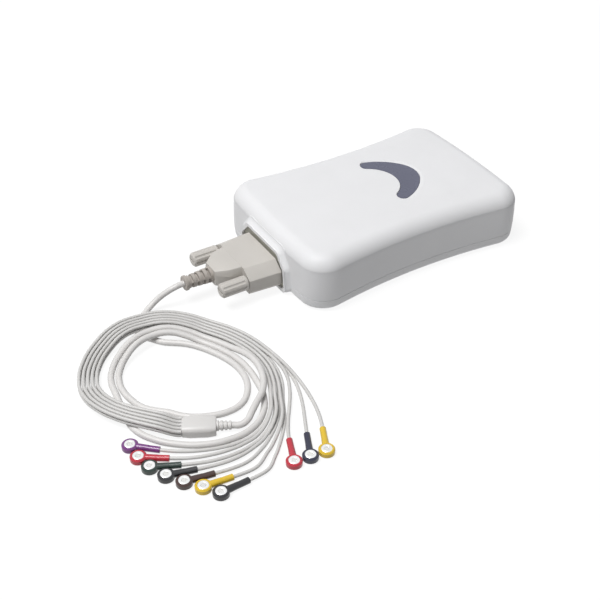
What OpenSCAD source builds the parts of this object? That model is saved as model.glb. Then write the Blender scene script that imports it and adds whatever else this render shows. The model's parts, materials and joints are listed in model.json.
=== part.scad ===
// Computer-connected ECG recorder with its ten-lead patient cable.
// The recorder stands on its feet at z = 0. Lengths are measured from the middle of
// its housing, and the whole is then set over the origin with its connector counted in.
// The patient connector faces -Y, and the cable lies coiled on the table.

/* [Housing] */
// Width of the recorder over its corners
body_w = 100; // [92:1:120]
// Length of the recorder over the middles of its ends
body_l = 148; // [140:1:170]
// Height of the flat middle of the lid above the table
body_h = 34.2; // [32:0.2:40]
// How far each long side curves in at its middle
waist = 4.3; // [2:0.1:6]
// How far each end curves out at its middle
end_bulge = 1.2; // [0.6:0.1:3]
// Corner radius seen from above
corner_r = 15.2; // [13:0.2:18]
// Radius of the edge that runs round the lid
top_r = 8.2; // [6:0.2:9]
// Radius of the edge that runs round the base
base_r = 4.1; // [2.5:0.1:4.5]
// Rise of the lid from its edge to its flat middle
crown = 1.2; // [0.4:0.1:2]
// Share of the lid's width and length that is flat
flat_share = 0.7; // [0.68:0.01:0.74]
// Lean of the side walls between the base and the lid's edge
draft = 0.8; // [0:0.1:1.2]
// Wall thickness of both covers
wall = 2.2; // [1.8:0.1:2.6]
// Height of the joint line between the covers
seam_z = 7.5; // [6.8:0.1:8.5]
// Height of the tongue that lines the covers up
tongue_h = 1.4; // [1:0.1:1.8]
// Thickness of that tongue
tongue_t = 1; // [0.8:0.1:1.2]
// Clearance round pieces that drop into one another
fit_gap = 0.1; // [0.05:0.01:0.15]

/* [Indicator lens] */
// Radius of the crescent's outer arc
lens_outer_r = 21.3; // [18:0.1:23]
// Radius of the crescent's inner arc
lens_inner_r = 19.2; // [16:0.1:21]
// Distance between the centres of the two arcs
lens_shift = 10.7; // [9:0.1:12]
// Centre of the outer arc along the lid
lens_y = 7.2; // [0:0.2:12]
// Centre of the crescent across the lid
lens_x = -1; // [-2:0.1:2]
// Radius of the crescent's rounded tips
lens_tip_r = 1.8; // [1.2:0.1:2.2]
// Depth of the lens surface below the lid
lens_sunk = 0.3; // [0.1:0.05:0.6]
// Width of the dished edge outside the lens
dish_w = 3.2; // [2:0.1:3.4]
// Depth of that dish at the lens
dish_h = 0.7; // [0.4:0.1:1]
// Width of the flange that holds the lens under the lid
lens_flange = 1.4; // [1:0.1:2]
// Thickness of that flange
lens_flange_t = 1; // [0.8:0.1:1.4]
// Thickness of the light guide under the lens
guide_t = 1.6; // [1.2:0.1:2]
// Diameter of the light guide's columns
guide_d = 4; // [3:0.2:5]

/* [Base] */
// Height that the feet stand proud of the base
foot_h = 0.8; // [0.6:0.1:1.2]
// Diameter of a foot
foot_d = 10; // [8:0.5:12]
// Distance of the feet from the middle, across
foot_x = 37; // [34:0.5:38]
// Distance of the feet from the middle, lengthwise
foot_y = 56; // [50:0.5:58]
// Depth of the socket that a foot is stuck into
foot_seat = 0.9; // [0.6:0.1:1.1]
// Distance of the case screws from the middle, across
screw_x = 39.5; // [38.5:0.1:40]
// Distance of the case screws from the middle, lengthwise
screw_y = 42; // [36:0.5:46]
// Diameter of a case screw
screw_d = 2.9; // [2.5:0.1:3]
// Diameter of a case screw's head
screw_head_d = 5.2; // [4.8:0.1:5.4]
// Thickness of a case screw's head
screw_head_t = 1.6; // [1.2:0.1:1.8]
// Length of a case screw's thread
screw_l = 16; // [12:0.5:20]
// Diameter of a screw boss in the lid
boss_d = 6.8; // [6.4:0.1:7]

/* [Circuit board] */
// Width of the board
board_w = 70; // [60:1:71]
// Room between each end of the board and the end of the housing
board_room = 7; // [6:0.5:10]
// Thickness of the board
board_t = 1.6; // [1.2:0.1:2]
// Height of the posts that carry the board
post_h = 1.6; // [1.2:0.1:2]
// Diameter of a post
post_d = 6; // [5:0.2:7]
// Distance of the posts from the middle, across
post_x = 30; // [26:0.5:31]
// Distance of the posts from the middle, lengthwise
post_y = 55; // [50:0.5:58]
// Diameter of a board screw
pcb_screw_d = 2.2; // [2:0.1:2.5]
// Width of the computer socket
usb_w = 12; // [12:0.1:12.4]
// Height of the computer socket
usb_h = 11; // [10.8:0.1:11.4]
// Length of the computer socket
usb_l = 16; // [15:0.5:18]
// Width of its mouth
usb_mouth_w = 8.5; // [8.4:0.1:8.6]
// Height of its mouth
usb_mouth_h = 7.8; // [7.7:0.1:7.9]

/* [Patient connector] */
// Height of the connector's middle above the table
conn_z = 12.4; // [12:0.1:13]
// Distance of the jack screws from the connector's middle
jack_x = 16.65; // [16.5:0.05:16.8]
// How far the collar that frames the connector stands out from the housing
collar_out = 2; // [1.6:0.1:3]
// Half width of the recess in the collar at its top
recess_top_w = 15.8; // [15:0.1:16.5]
// Half width of the recess at its shoulders
recess_mid_w = 22.3; // [21.8:0.1:22.8]
// Half width of the recess at its bottom
recess_low_w = 23.6; // [23:0.1:24.2]
// Height of the recess's top above the connector's middle
recess_up = 11.1; // [10.6:0.1:11.4]
// Height of its shoulders above the connector's middle
recess_shoulder = 3.7; // [3:0.1:4.4]
// Depth of its bottom below the connector's middle
recess_down = 9.2; // [8.8:0.1:9.4]
// Depth of the recess inside the collar
recess_h = 2.4; // [2:0.1:2.8]
// Thickness of the collar's wall
collar_t = 1.8; // [1.5:0.1:2]
// Thickness of the plate that carries the socket
plate_t = 1.6; // [1.4:0.1:2]
// Width over the socket's metal rim
socket_w = 24.7; // [24.6:0.1:24.8]
// Height over the socket's metal rim
socket_h = 7.9; // [7.8:0.1:8]
// Length of the socket's metal rim
socket_l = 6; // [5.8:0.1:6.2]
// Thickness of the metal of both connector shells
shell_t = 0.4; // [0.3:0.05:0.5]
// Clearance between the socket's rim and the plug's rim
shell_gap = 0.25; // [0.2:0.01:0.3]
// Distance between neighbouring contacts in a row
pin_pitch = 2.77; // [2.74:0.01:2.8]
// Distance between the two rows of contacts
row_pitch = 2.84; // [2.8:0.01:2.9]
// Diameter of a plug pin
pin_d = 1; // [0.98:0.01:1.02]
// Diameter over a socket contact
contact_d = 1.7; // [1.6:0.05:1.8]
// Distance across the flats of a jack screw
jack_af = 4.8; // [4.6:0.1:5]
// Length of a jack screw's head
jack_l = 5; // [4.8:0.1:5.2]
// Diameter of a thumbscrew's thread
thread_d = 2.7; // [2.6:0.05:2.8]
// Radial clearance of turning and sliding fits
run_gap = 0.05; // [0.04:0.01:0.08]

/* [Cable plug] */
// Gap between the jack screws and the plug's flange
mate_gap = 0.3; // [0.2:0.05:0.5]
// Half width of the hood at its front
hood_w = 21.3; // [20.6:0.1:22]
// Half height of the hood
hood_h = 7.3; // [7:0.1:7.6]
// Half width of the hood's flat top at its front
hood_top_w = 14.8; // [14:0.1:15.6]
// Thickness of the hood's wall round the plug
hood_t = 1.2; // [1:0.1:1.4]
// How far the hood reaches into the collar
hood_in = 0.3; // [0.1:0.1:0.6]
// Length of the hood's wide front
hood_l = 19.3; // [18:0.1:21]
// Length of the hood's narrow back
tail_l = 13.5; // [12:0.1:15]
// Diameter of a thumbscrew's head
knob_d = 8.4; // [7.8:0.1:8.6]
// Length of a thumbscrew's head
knob_l = 16; // [14:0.5:17]
// How far a thumbscrew reaches into its jack screw
engage_l = 4.2; // [3.8:0.1:4.4]
// Outer diameter of the ring that keeps a thumbscrew in the hood
clip_d = 4.6; // [4.2:0.1:5]
// Thickness of that ring
clip_t = 0.6; // [0.5:0.05:0.8]
// Travel of a thumbscrew when it is undone
undo_l = 4.4; // [4.3:0.1:4.6]
// Length of the strain relief behind the hood
boot_l = 16.5; // [14:0.5:20]
// Diameter of the strain relief at the hood
boot_d = 9; // [8:0.1:9.6]

/* [Cable] */
// Diameter of the trunk cable
trunk_d = 3.4; // [3:0.1:3.6]
// Diameter of a lead wire
lead_d = 1.8; // [1.4:0.1:1.9]
// Middle of the coil, to the side of the recorder
coil_x = 59.3; // [58:0.1:61]
// Middle of the coil, in front of the recorder
coil_y = -156; // [-158:0.1:-155]
// Mean inner radius of the coil
coil_r = 28.5; // [27.5:0.1:29.5]
// How far the coil is drawn out into an oval
coil_oval = 4.2; // [3:0.1:4.5]
// Direction of the oval's long axis
coil_turn = 26; // [20:1:32]
// Length of the yoke where the trunk splits into leads
yoke_l = 16.5; // [15:0.5:17]
// Width of the yoke
yoke_w = 11.2; // [11:0.1:11.6]
// Height of the yoke
yoke_h = 6.4; // [6:0.1:6.8]
// Length of the yoke's strain relief
yoke_boot_l = 8; // [7:0.5:9]
// Diameter of the yoke's strain relief
yoke_boot_d = 5.2; // [4.6:0.1:5.4]

/* [Snap connectors] */
// Diameter of a snap connector's coloured head
head_d = 8; // [7.4:0.1:8.2]
// Thickness of the head
head_h = 3.4; // [3.2:0.1:3.8]
// Diameter of the sleeve that holds the lead
sleeve_d = 3.2; // [2.8:0.1:3.2]
// Distance from the stud's middle to the sleeve's end
sleeve_l = 14.5; // [13:0.5:15]
// Diameter of the bore for the electrode stud
stud_d = 3.9; // [3.8:0.05:4]
// Depth of that bore up to the spring
stud_h = 1.9; // [1.7:0.1:2]
// Outer diameter of the metal socket
snap_d = 6.2; // [6:0.1:6.4]
// Diameter of the metal ring that shows on top
ring_d = 5.5; // [5:0.1:5.7]
// Diameter of the eye in that ring
eye_d = 2.4; // [2:0.1:2.6]
// Diameter of the spring wire that grips the stud
spring_d = 0.4; // [0.3:0.05:0.45]

/* [Hidden] */

// Colours as the photograph shows them
white = [0.93, 0.93, 0.94];
lens_grey = [0.42, 0.43, 0.5];
beige = [0.8, 0.78, 0.76];
wire_white = [0.88, 0.88, 0.87];
steel = [0.75, 0.75, 0.77];
brass = [0.85, 0.7, 0.35];
black = [0.08, 0.08, 0.09];
board_green = [0.1, 0.35, 0.2];

// Heights in the housing
base_z = foot_h;
edge_z = body_h - crown;
floor_z = base_z + wall;
ceiling_z = body_h - wall;
board_z = floor_z + post_h;
board_top = board_z + board_t;
board_l = body_l - 2 * board_room;
rim_z = edge_z - top_r;

// Plan of the housing: a hollow-sided box of tangent arcs
half_w = body_w / 2;
half_l = body_l / 2;
corner_x = half_w - corner_r;
corner_y = half_l - end_bulge - corner_r;
side_span = (waist * waist + corner_y * corner_y) / (2 * waist);
side_r = side_span - corner_r;
side_x = half_w - waist + side_r;
side_angle = asin(corner_y / side_span);
end_span = (corner_x * corner_x + end_bulge * end_bulge) / (2 * end_bulge);
end_r = end_span + corner_r;
end_angle = asin(corner_x / end_span);
side_steps = 5;
corner_steps = 6;
end_steps = 3;
edge_stop = 87;

// Patient connector, along -Y
collar_y = half_l + collar_out;
plate_y = -collar_y + recess_h;
flange_y = plate_y + plate_t;
socket_flange_t = 0.8;
socket_front = flange_y - socket_l;
jack_front = plate_y - jack_l;
plug_flange_t = 0.8;
plug_flange_y = jack_front - mate_gap;
hood_front = -collar_y + hood_in;
hood_ear = hood_front - hood_l;
hood_back = hood_ear - tail_l;
boot_back = hood_back - boot_l;
thread_tip = jack_front + engage_l;
clip_y = plug_flange_y - 6.3;
hood_hole_r = thread_d / 2 + 0.25;
knob_front = hood_ear - 0.4;

// A thread's clearance in its hole where it would really bite
bite_gap = 0.02;

// The origin lies under the middle of the recorder, its jack screws counted in
origin_y = -(jack_front + half_l) / 2;
module in_place() {
    translate([0, origin_y, 0])
        children();
}

function unit(v) = v / norm(v);
function smooth(t) = let (c = min(max(t, 0), 1)) c * c * (3 - 2 * c);
function ramp(x, a, b) = smooth((x - a) / (b - a));
function hump(x, a, b, c, d) = ramp(x, a, b) * (1 - ramp(x, c, d));
function lift_ring(outline, z) = [for (p = outline) [p[0], p[1], z]];
function arc(centre, r, from, to, steps) =
    [for (i = [0:steps]) let (a = from + (to - from) * i / steps)
        [centre[0] + r * cos(a), centre[1] + r * sin(a)]];

// Turns the corners of a polygon into arcs; each point is [x, y, radius]
function round_corner(a, b, c, r, steps) =
    let (u = unit(a - b), v = unit(c - b), half = acos(u * v) / 2)
    let (middle = b + unit(u + v) * r / sin(half))
    let (p = b + u * r / tan(half) - middle, q = b + v * r / tan(half) - middle)
    let (from = atan2(p[1], p[0]), turn = atan2(p[0] * q[1] - p[1] * q[0], p * q))
    arc(middle, r, from, from + turn, steps);
function rounded(points, steps = 4) =
    let (n = len(points), xy = [for (p = points) [p[0], p[1]]])
    [for (i = [0:n - 1])
        each round_corner(xy[(i + n - 1) % n], xy[i], xy[(i + 1) % n], points[i][2], steps)];
function mirrored(points) =
    concat(points, [for (i = [len(points) - 1:-1:0]) [-points[i][0], points[i][1], points[i][2]]]);

// Skin over a row of rings that all have the same number of points
module skin(rings) {
    n = len(rings[0]);
    m = len(rings);
    sides = [for (i = [0:m - 2], k = [0:n - 1])
        let (a = i * n + k, b = i * n + (k + 1) % n)
        each [[a, a + n, b + n], [a, b + n, b]]];
    first = [[for (k = [0:n - 1]) k]];
    last = [[for (k = [n - 1:-1:0]) (m - 1) * n + k]];
    polyhedron([for (r = rings) each r], concat(sides, first, last), convexity = 8);
}

// Round tube along a path that never points straight up
function path_way(p, i) = unit(p[min(i + 1, len(p) - 1)] - p[max(i - 1, 0)]);
function tube_ring(p, i, r, n) =
    let (way = path_way(p, i), across = unit(cross([0, 0, 1], way)), over = cross(way, across))
    [for (k = [0:n - 1]) p[i] + r * cos(360 * k / n) * across + r * sin(360 * k / n) * over];
module tube(path, d, sides) {
    skin([for (i = [0:len(path) - 1]) tube_ring(path, i, d / 2, sides)]);
}

// Housing

function quarter(d) = concat(
    [for (i = [0:side_steps]) let (a = side_angle * i / side_steps)
        [side_x - (side_r + d) * cos(a), (side_r + d) * sin(a)]],
    [for (i = [1:corner_steps])
        let (a = -side_angle + (90 - end_angle + side_angle) * i / corner_steps)
        [corner_x + (corner_r - d) * cos(a), corner_y + (corner_r - d) * sin(a)]],
    [for (i = [1:end_steps]) let (a = 90 - end_angle + end_angle * i / end_steps)
        [(end_r - d) * cos(a), half_l - end_r + (end_r - d) * sin(a)]]);
function plan(d) =
    let (q = quarter(d), n = len(q) - 1)
    concat(
        [for (i = [0:n]) q[i]],
        [for (i = [n - 1:-1:0]) [-q[i][0], q[i][1]]],
        [for (i = [1:n]) [-q[i][0], -q[i][1]]],
        [for (i = [n - 1:-1:1]) [q[i][0], -q[i][1]]]);
function plan_ring(d, z) = lift_ring(plan(d), z);
// Ring on the lid's crown; share is 1 at the edge and flat_share at the flat middle
function crown_ring(d, share, z) = [for (p = plan(d)) [p[0] * share, p[1] * share, z]];
function crown_z(share) =
    edge_z + crown * (1 - pow((share - flat_share) / (1 - flat_share), 2));
function edge_ring(a) =
    plan_ring(draft + top_r * (1 - cos(a)), rim_z + top_r * sin(a));
function inner_edge_ring(a) =
    plan_ring(draft + top_r - (top_r - wall) * cos(a), rim_z + (top_r - wall) * sin(a));
function base_ring(a) =
    plan_ring(base_r * (1 - cos(a)), base_z + base_r * (1 - sin(a)));

edge_inset = draft + top_r * (1 - cos(edge_stop));
inner_inset = draft + top_r - (top_r - wall) * cos(edge_stop);
groove_d = wall - tongue_t - fit_gap;

module lid_shell() {
    skin(concat(
        [crown_ring(inner_inset, flat_share, ceiling_z)],
        [for (i = [3:-1:0]) inner_edge_ring(edge_stop * i / 3)],
        [plan_ring(wall, seam_z + tongue_h + fit_gap),
         plan_ring(groove_d, seam_z + tongue_h + fit_gap),
         plan_ring(groove_d, seam_z),
         plan_ring(0, seam_z)],
        [for (i = [0:7]) edge_ring(edge_stop * i / 7)],
        [for (s = [0.92, 0.84, 0.76, flat_share]) crown_ring(edge_inset, s, crown_z(s))]));
}

module base_shell() {
    skin(concat(
        [for (i = [4:-1:0]) base_ring(edge_stop * i / 4)],
        [plan_ring(0, seam_z),
         plan_ring(wall - tongue_t, seam_z),
         plan_ring(wall - tongue_t, seam_z + tongue_h),
         plan_ring(wall, seam_z + tongue_h),
         plan_ring(wall, floor_z + 1),
         plan_ring(wall + 1, floor_z)]));
}

module at_corners(x, y) {
    for (sx = [-1, 1], sy = [-1, 1])
        translate([sx * x, sy * y, 0])
            children();
}

// Upright solid between two heights
module post(z0, z1, d) {
    translate([0, 0, z0])
        cylinder(h = z1 - z0, d = d, $fn = 32);
}

// Solid along Y between two stations, at a height z
module rod_y(y0, y1, d, z = conn_z, sides = 32) {
    translate([0, y0, z])
        rotate([-90, 0, 0])
            cylinder(h = y1 - y0, d = d, $fn = sides);
}

// Profile in X and Z drawn along Y between two stations
module along_y(y0, y1) {
    translate([0, y1, 0])
        rotate([90, 0, 0])
            linear_extrude(y1 - y0)
                children();
}

// Crescent grown by d on every side
lens_tip_1 = lens_outer_r - lens_tip_r;
lens_tip_2 = lens_inner_r + lens_tip_r;
lens_drop = (lens_shift * lens_shift + lens_tip_1 * lens_tip_1 - lens_tip_2 * lens_tip_2)
    / (2 * lens_shift);
lens_tip_x = sqrt(lens_tip_1 * lens_tip_1 - lens_drop * lens_drop);
lens_tip_y = lens_y - lens_drop;
lens_inner_y = lens_y - lens_shift;
lens_a1 = atan2(-lens_drop, lens_tip_x);
lens_a2 = atan2(lens_tip_y - lens_inner_y, lens_tip_x);
function crescent(d) = concat(
    arc([lens_x, lens_y], lens_outer_r + d, lens_a1, 180 - lens_a1, 20),
    arc([lens_x - lens_tip_x, lens_tip_y], lens_tip_r + d, 180 - lens_a1, 360 - lens_a2, 4),
    arc([lens_x, lens_inner_y], lens_inner_r - d, 180 - lens_a2, lens_a2, 16),
    arc([lens_x + lens_tip_x, lens_tip_y], lens_tip_r + d, 180 + lens_a2, 360 + lens_a1, 4));
module crescent_slab(d, z0, z1) {
    translate([0, 0, z0])
        linear_extrude(z1 - z0)
            polygon(crescent(d));
}

// Opening for the lens; the lid is dished round its outer arc and flat along its inner arc
function opening_ring(share, z) =
    let (inner = crescent(fit_gap), outer = crescent(fit_gap + dish_w * share))
    [for (i = [0:len(inner) - 1])
        let (out = norm(outer[i] - [lens_x, lens_y]) > lens_outer_r + fit_gap)
        let (p = out ? outer[i] : inner[i])
        [p[0], p[1], z]];
module lens_opening() {
    skin([
        opening_ring(0, ceiling_z - 2),
        opening_ring(0, body_h - dish_h),
        opening_ring(0.45, body_h - dish_h * 0.45),
        opening_ring(1, body_h + 0.05)]);
}

module collar_cut(grow) {
    along_y(-collar_y - 6, -half_l + wall + 4)
        polygon(collar_outline(grow));
}

module usb_cut() {
    translate([-usb_w / 2 - 0.4, half_l - wall - 6, board_top - 0.4])
        cube([usb_w + 0.8, wall + 12, usb_h + 0.8]);
}

module top_cover() {
    color(white) in_place()
        difference() {
            union() {
                lid_shell();
                at_corners(screw_x, screw_y)
                    post(floor_z + boss_foot_h + fit_gap, boss_top, boss_d);
            }
            at_corners(screw_x, screw_y)
                post(floor_z, screw_tip_z + 1, screw_d + 2 * bite_gap);
            lens_opening();
            collar_cut(fit_gap);
            usb_cut();
        }
}

boss_foot_h = 2.4;
boss_top = edge_z - wall + 0.6;
screw_head_z = base_z + 0.3;
screw_tip_z = screw_head_z + screw_head_t + screw_l;

module bottom_cover() {
    color(white) in_place()
        difference() {
            union() {
                base_shell();
                at_corners(screw_x, screw_y)
                    post(floor_z - 1, floor_z + boss_foot_h, boss_d);
                at_corners(post_x, post_y)
                    post(floor_z - 1, board_z, post_d);
            }
            at_corners(screw_x, screw_y) {
                post(base_z - 1, screw_head_z + screw_head_t, screw_head_d + 4 * fit_gap);
                post(base_z, floor_z + boss_foot_h + 1, screw_d + 4 * fit_gap);
            }
            at_corners(post_x, post_y)
                post(floor_z - 1.2, board_z + 1, pcb_screw_d + 2 * bite_gap);
            at_corners(foot_x, foot_y)
                post(base_z - 1, base_z + foot_seat, foot_d + 2 * fit_gap);
            collar_cut(fit_gap);
            usb_cut();
        }
}

module indicator_lens() {
    color(lens_grey) in_place()
        union() {
            crescent_slab(0, ceiling_z - 0.01, body_h - lens_sunk);
            crescent_slab(lens_flange, ceiling_z - lens_flange_t, ceiling_z);
        }
}

guide_top = ceiling_z - lens_flange_t - 0.1;
led_t = 1.4;
led_top = board_top + led_t;
led_w = 3.5;
led_l = 2.8;
led_angles = [40, 90, 140];
led_ring_r = (lens_outer_r + lens_inner_r) / 2;
led_ring_y = (lens_y + lens_inner_y) / 2;
function led_place(a) = [lens_x + led_ring_r * cos(a), led_ring_y + led_ring_r * sin(a)];

module light_guide() {
    color([0.9, 0.92, 0.95]) in_place()
        union() {
            crescent_slab(0.2, guide_top - guide_t, guide_top);
            for (a = led_angles)
                translate(led_place(a))
                    post(led_top + 0.2, guide_top - 0.2, guide_d);
        }
}

module indicator_leds() {
    color([0.95, 0.95, 0.85]) in_place()
        for (a = led_angles)
            translate([led_place(a)[0] - led_w / 2, led_place(a)[1] - led_l / 2, board_top])
                cube([led_w, led_l, led_t]);
}

module rubber_feet() {
    color(black) in_place()
        at_corners(foot_x, foot_y)
            rotate_extrude($fn = 40)
                polygon([
                    [0, 0], [foot_d / 2 - 0.5, 0], [foot_d / 2, 0.5],
                    [foot_d / 2, base_z + foot_seat], [0, base_z + foot_seat]]);
}

module case_screws() {
    color(steel) in_place()
        at_corners(screw_x, screw_y)
            difference() {
                union() {
                    post(screw_head_z, screw_head_z + screw_head_t, screw_head_d);
                    post(screw_head_z + 0.5, screw_tip_z, screw_d);
                }
                for (a = [0, 90])
                    rotate(a)
                        translate([-1.5, -0.35, screw_head_z - 1])
                            cube([3, 0.7, 2]);
            }
}

// Circuit board

pcb_head_d = 4;
pcb_head_t = 1.4;

module main_board() {
    color(board_green) in_place()
        difference() {
            translate([-board_w / 2, -board_l / 2, board_z])
                linear_extrude(board_t)
                    polygon(rounded([
                        [0, 0, 2], [board_w, 0, 2], [board_w, board_l, 2], [0, board_l, 2]], 3));
            at_corners(post_x, post_y)
                post(board_z - 1, board_top + 1, pcb_screw_d + 4 * fit_gap);
        }
}

module board_screws() {
    color(steel) in_place()
        at_corners(post_x, post_y)
            difference() {
                union() {
                    post(board_top, board_top + pcb_head_t, pcb_head_d);
                    post(floor_z - 1, board_top + 0.5, pcb_screw_d);
                }
                for (a = [0, 90])
                    rotate(a)
                        translate([-1.1, -0.25, board_top + pcb_head_t - 0.6])
                            cube([2.2, 0.5, 1]);
            }
}

module on_board(x, y, w, l, h) {
    translate([x - w / 2, y - l / 2, board_top])
        cube([w, l, h]);
}

module board_chips() {
    color(black) in_place() {
        on_board(-14, 6, 14, 14, 1.4);
        on_board(10, -6, 10, 10, 1.2);
        on_board(22, -2, 7, 10, 2.2);
        on_board(-16, 34, 10, 8, 1.8);
        on_board(16, 44, 8, 8, 1.6);
        on_board(-26, -4, 5, 8, 2.4);
    }
}

module isolation_transformer() {
    color([0.25, 0.22, 0.2]) in_place()
        union() {
            on_board(20, 24, 13, 11, 7.5);
            on_board(20, 24, 15, 7, 2);
        }
}

module shield_can() {
    can_w = 40;
    can_l = 24;
    can_h = 4;
    can_t = 0.3;
    color(steel) in_place()
        difference() {
            on_board(0, -34, can_w, can_l, can_h);
            translate([0, 0, -1])
                on_board(0, -34, can_w - 2 * can_t, can_l - 2 * can_t, can_h - can_t + 1);
        }
}

usb_front = half_l - 0.6;
usb_t = 0.4;
usb_z = board_top + usb_h / 2;

module usb_box(w, h, y0, y1) {
    translate([-w / 2, y0, usb_z - h / 2])
        cube([w, y1 - y0, h]);
}

module usb_shell() {
    color(steel) in_place()
        difference() {
            usb_box(usb_w, usb_h, usb_front - usb_l, usb_front);
            usb_box(usb_w - 2 * usb_t, usb_h - 2 * usb_t, usb_front - usb_l - 1, usb_front - 1);
            along_y(usb_front - 2, usb_front + 1)
                polygon(usb_mouth(usb_mouth_w, usb_mouth_h));
        }
}

// The mouth's two upper corners are cut off, as on every square computer socket
function usb_mouth(w, h) =
    let (cut = 1.6)
    [[-w / 2, usb_z - h / 2], [w / 2, usb_z - h / 2], [w / 2, usb_z + h / 2 - cut],
     [w / 2 - cut, usb_z + h / 2], [-w / 2 + cut, usb_z + h / 2], [-w / 2, usb_z + h / 2 - cut]];

module usb_insulator() {
    inner = 2 * usb_t + 2 * fit_gap;
    color([0.92, 0.92, 0.9]) in_place()
        union() {
            difference() {
                usb_box(usb_w - inner, usb_h - inner, usb_front - usb_l, usb_front - 1.2);
                along_y(usb_front - 10, usb_front)
                    polygon(usb_mouth(usb_mouth_w, usb_mouth_h));
            }
            usb_box(5.6, 3.2, usb_front - 11, usb_front - 2);
        }
}

// Patient connector

recess_r = 1.5;
// Recess outline about the connector, grown by d, as points for rounded()
function collar_points(d) =
    let (low = conn_z - recess_down - d, shoulder = conn_z + recess_shoulder + 0.5 * d)
    let (top = conn_z + recess_up + d, r = recess_r + d)
    mirrored([
        [recess_low_w + d, low, r], [recess_mid_w + d, shoulder, r + 1],
        [recess_top_w + 0.7 * d, top, r + 1]]);
function collar_outline(d) = rounded(collar_points(collar_t + d), 4);
function recess_outline(d) = rounded(collar_points(d), 4);

// Connector outline with sides that lean in by ten degrees
function d_outline(w, h, r) =
    let (lean = h * tan(10))
    rounded([
        [w / 2 - lean, conn_z - h / 2, r], [w / 2, conn_z + h / 2, r],
        [-w / 2, conn_z + h / 2, r], [-w / 2 + lean, conn_z - h / 2, r]], 5);
module d_bar(w, h, r, y0, y1) {
    along_y(y0, y1)
        polygon(d_outline(w, h, r));
}
module at_jacks() {
    for (s = [-1, 1])
        translate([s * jack_x, 0, 0])
            children();
}
// Places of the fifteen contacts: eight in the upper row and seven in the lower
contact_places = concat(
    [for (i = [0:7]) [(i - 3.5) * pin_pitch, conn_z + row_pitch / 2]],
    [for (i = [0:6]) [(i - 3) * pin_pitch, conn_z - row_pitch / 2]]);
module at_contacts() {
    for (p = contact_places)
        translate([p[0], 0, p[1] - conn_z])
            children();
}

window_gap = 0.7;
flange_w = 39.2;
flange_h = 12.5;
rim_step = 1.4;
rim_t = 1.5;
// The rim clears the inside of the lid, which curves away towards the corners
rim_y = -half_l + draft + wall + end_bulge * pow(recess_low_w / corner_x, 2) + 0.9;
panel_back = rim_y + rim_t;
plug_w = socket_w + 2 * shell_gap + 2 * shell_t;
plug_h = socket_h + 2 * shell_gap + 2 * shell_t;

module connector_panel() {
    color(white) in_place()
        difference() {
            union() {
                along_y(-collar_y, panel_back)
                    polygon(collar_outline(0));
                intersection() {
                    along_y(rim_y, panel_back)
                        polygon(collar_outline(rim_step));
                    translate([-half_w, rim_y - 1, floor_z + 0.3])
                        cube([body_w, rim_t + 2, rim_z - floor_z]);
                }
            }
            along_y(-collar_y - 1, plate_y)
                polygon(recess_outline(0));
            along_y(flange_y, panel_back + 1)
                polygon(recess_outline(0));
            d_bar(plug_w + 2 * window_gap, plug_h + 2 * window_gap, 3, -collar_y, flange_y + 1);
            at_jacks()
                rod_y(-collar_y, flange_y + 1, thread_d + 0.4);
        }
}

module panel_gasket() {
    color([0.55, 0.54, 0.5]) in_place()
        difference() {
            along_y(plate_y - 1, plate_y)
                polygon(recess_outline(-fit_gap));
            d_bar(plug_w + 2 * window_gap, plug_h + 2 * window_gap, 3, -collar_y, flange_y);
            at_jacks()
                rod_y(-collar_y, flange_y, jack_af * 1.3);
        }
}

module flange_plate(y0, y1) {
    along_y(y0, y1)
        polygon(rounded([
            [flange_w / 2, conn_z - flange_h / 2, 2], [flange_w / 2, conn_z + flange_h / 2, 2],
            [-flange_w / 2, conn_z + flange_h / 2, 2], [-flange_w / 2, conn_z - flange_h / 2, 2]]));
}

module socket_shell() {
    color(steel) in_place()
        difference() {
            union() {
                flange_plate(flange_y, flange_y + socket_flange_t);
                d_bar(socket_w, socket_h, 2.4, socket_front, flange_y + 0.4);
            }
            d_bar(socket_w - 2 * shell_t, socket_h - 2 * shell_t, 2,
                socket_front - 1, flange_y + 2);
            at_jacks()
                rod_y(flange_y - 1, flange_y + 2, thread_d + 0.4);
        }
}

insulator_back = flange_y + 8;
contact_l = 5.6;

module socket_insulator() {
    inset = 2 * shell_t + 2 * fit_gap;
    color(black) in_place()
        difference() {
            union() {
                d_bar(socket_w - inset, socket_h - inset, 1.9, socket_front, insulator_back - 5);
                translate([-socket_w / 2, flange_y + socket_flange_t + 0.1, board_top])
                    cube([socket_w, insulator_back - flange_y - socket_flange_t - 0.1, conn_z
                        + socket_h / 2 - board_top]);
            }
            at_contacts()
                rod_y(socket_front - 1, insulator_back + 1, contact_d + 2 * bite_gap);
        }
}

module socket_contacts() {
    bore_d = pin_d + 2 * run_gap;
    leg = 0.6;
    color(brass) in_place()
        for (p = contact_places)
            difference() {
                leg_y = insulator_back + (p[1] > conn_z ? 2.6 : 0.6);
                union() {
                    translate([p[0], 0, p[1] - conn_z])
                        rod_y(socket_front, insulator_back, contact_d, sides = 20);
                    translate([p[0] - leg / 2, insulator_back - 0.1, p[1] - leg / 2])
                        cube([leg, leg_y + leg - insulator_back + 0.1, leg]);
                    translate([p[0] - leg / 2, leg_y, board_top])
                        cube([leg, leg, p[1] + leg / 2 - board_top]);
                }
                translate([p[0], 0, p[1] - conn_z])
                    rod_y(socket_front - 1, socket_front + contact_l, bore_d, sides = 20);
            }
}

module jack_screws() {
    color(steel) in_place()
        at_jacks()
            difference() {
                union() {
                    rod_y(jack_front, plate_y, jack_af / cos(30), sides = 6);
                    rod_y(plate_y - 0.5, flange_y + socket_flange_t + 3.2, thread_d);
                }
                rod_y(jack_front - 1, plate_y - 0.4, thread_d + 2 * run_gap + 0.04);
            }
}

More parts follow.
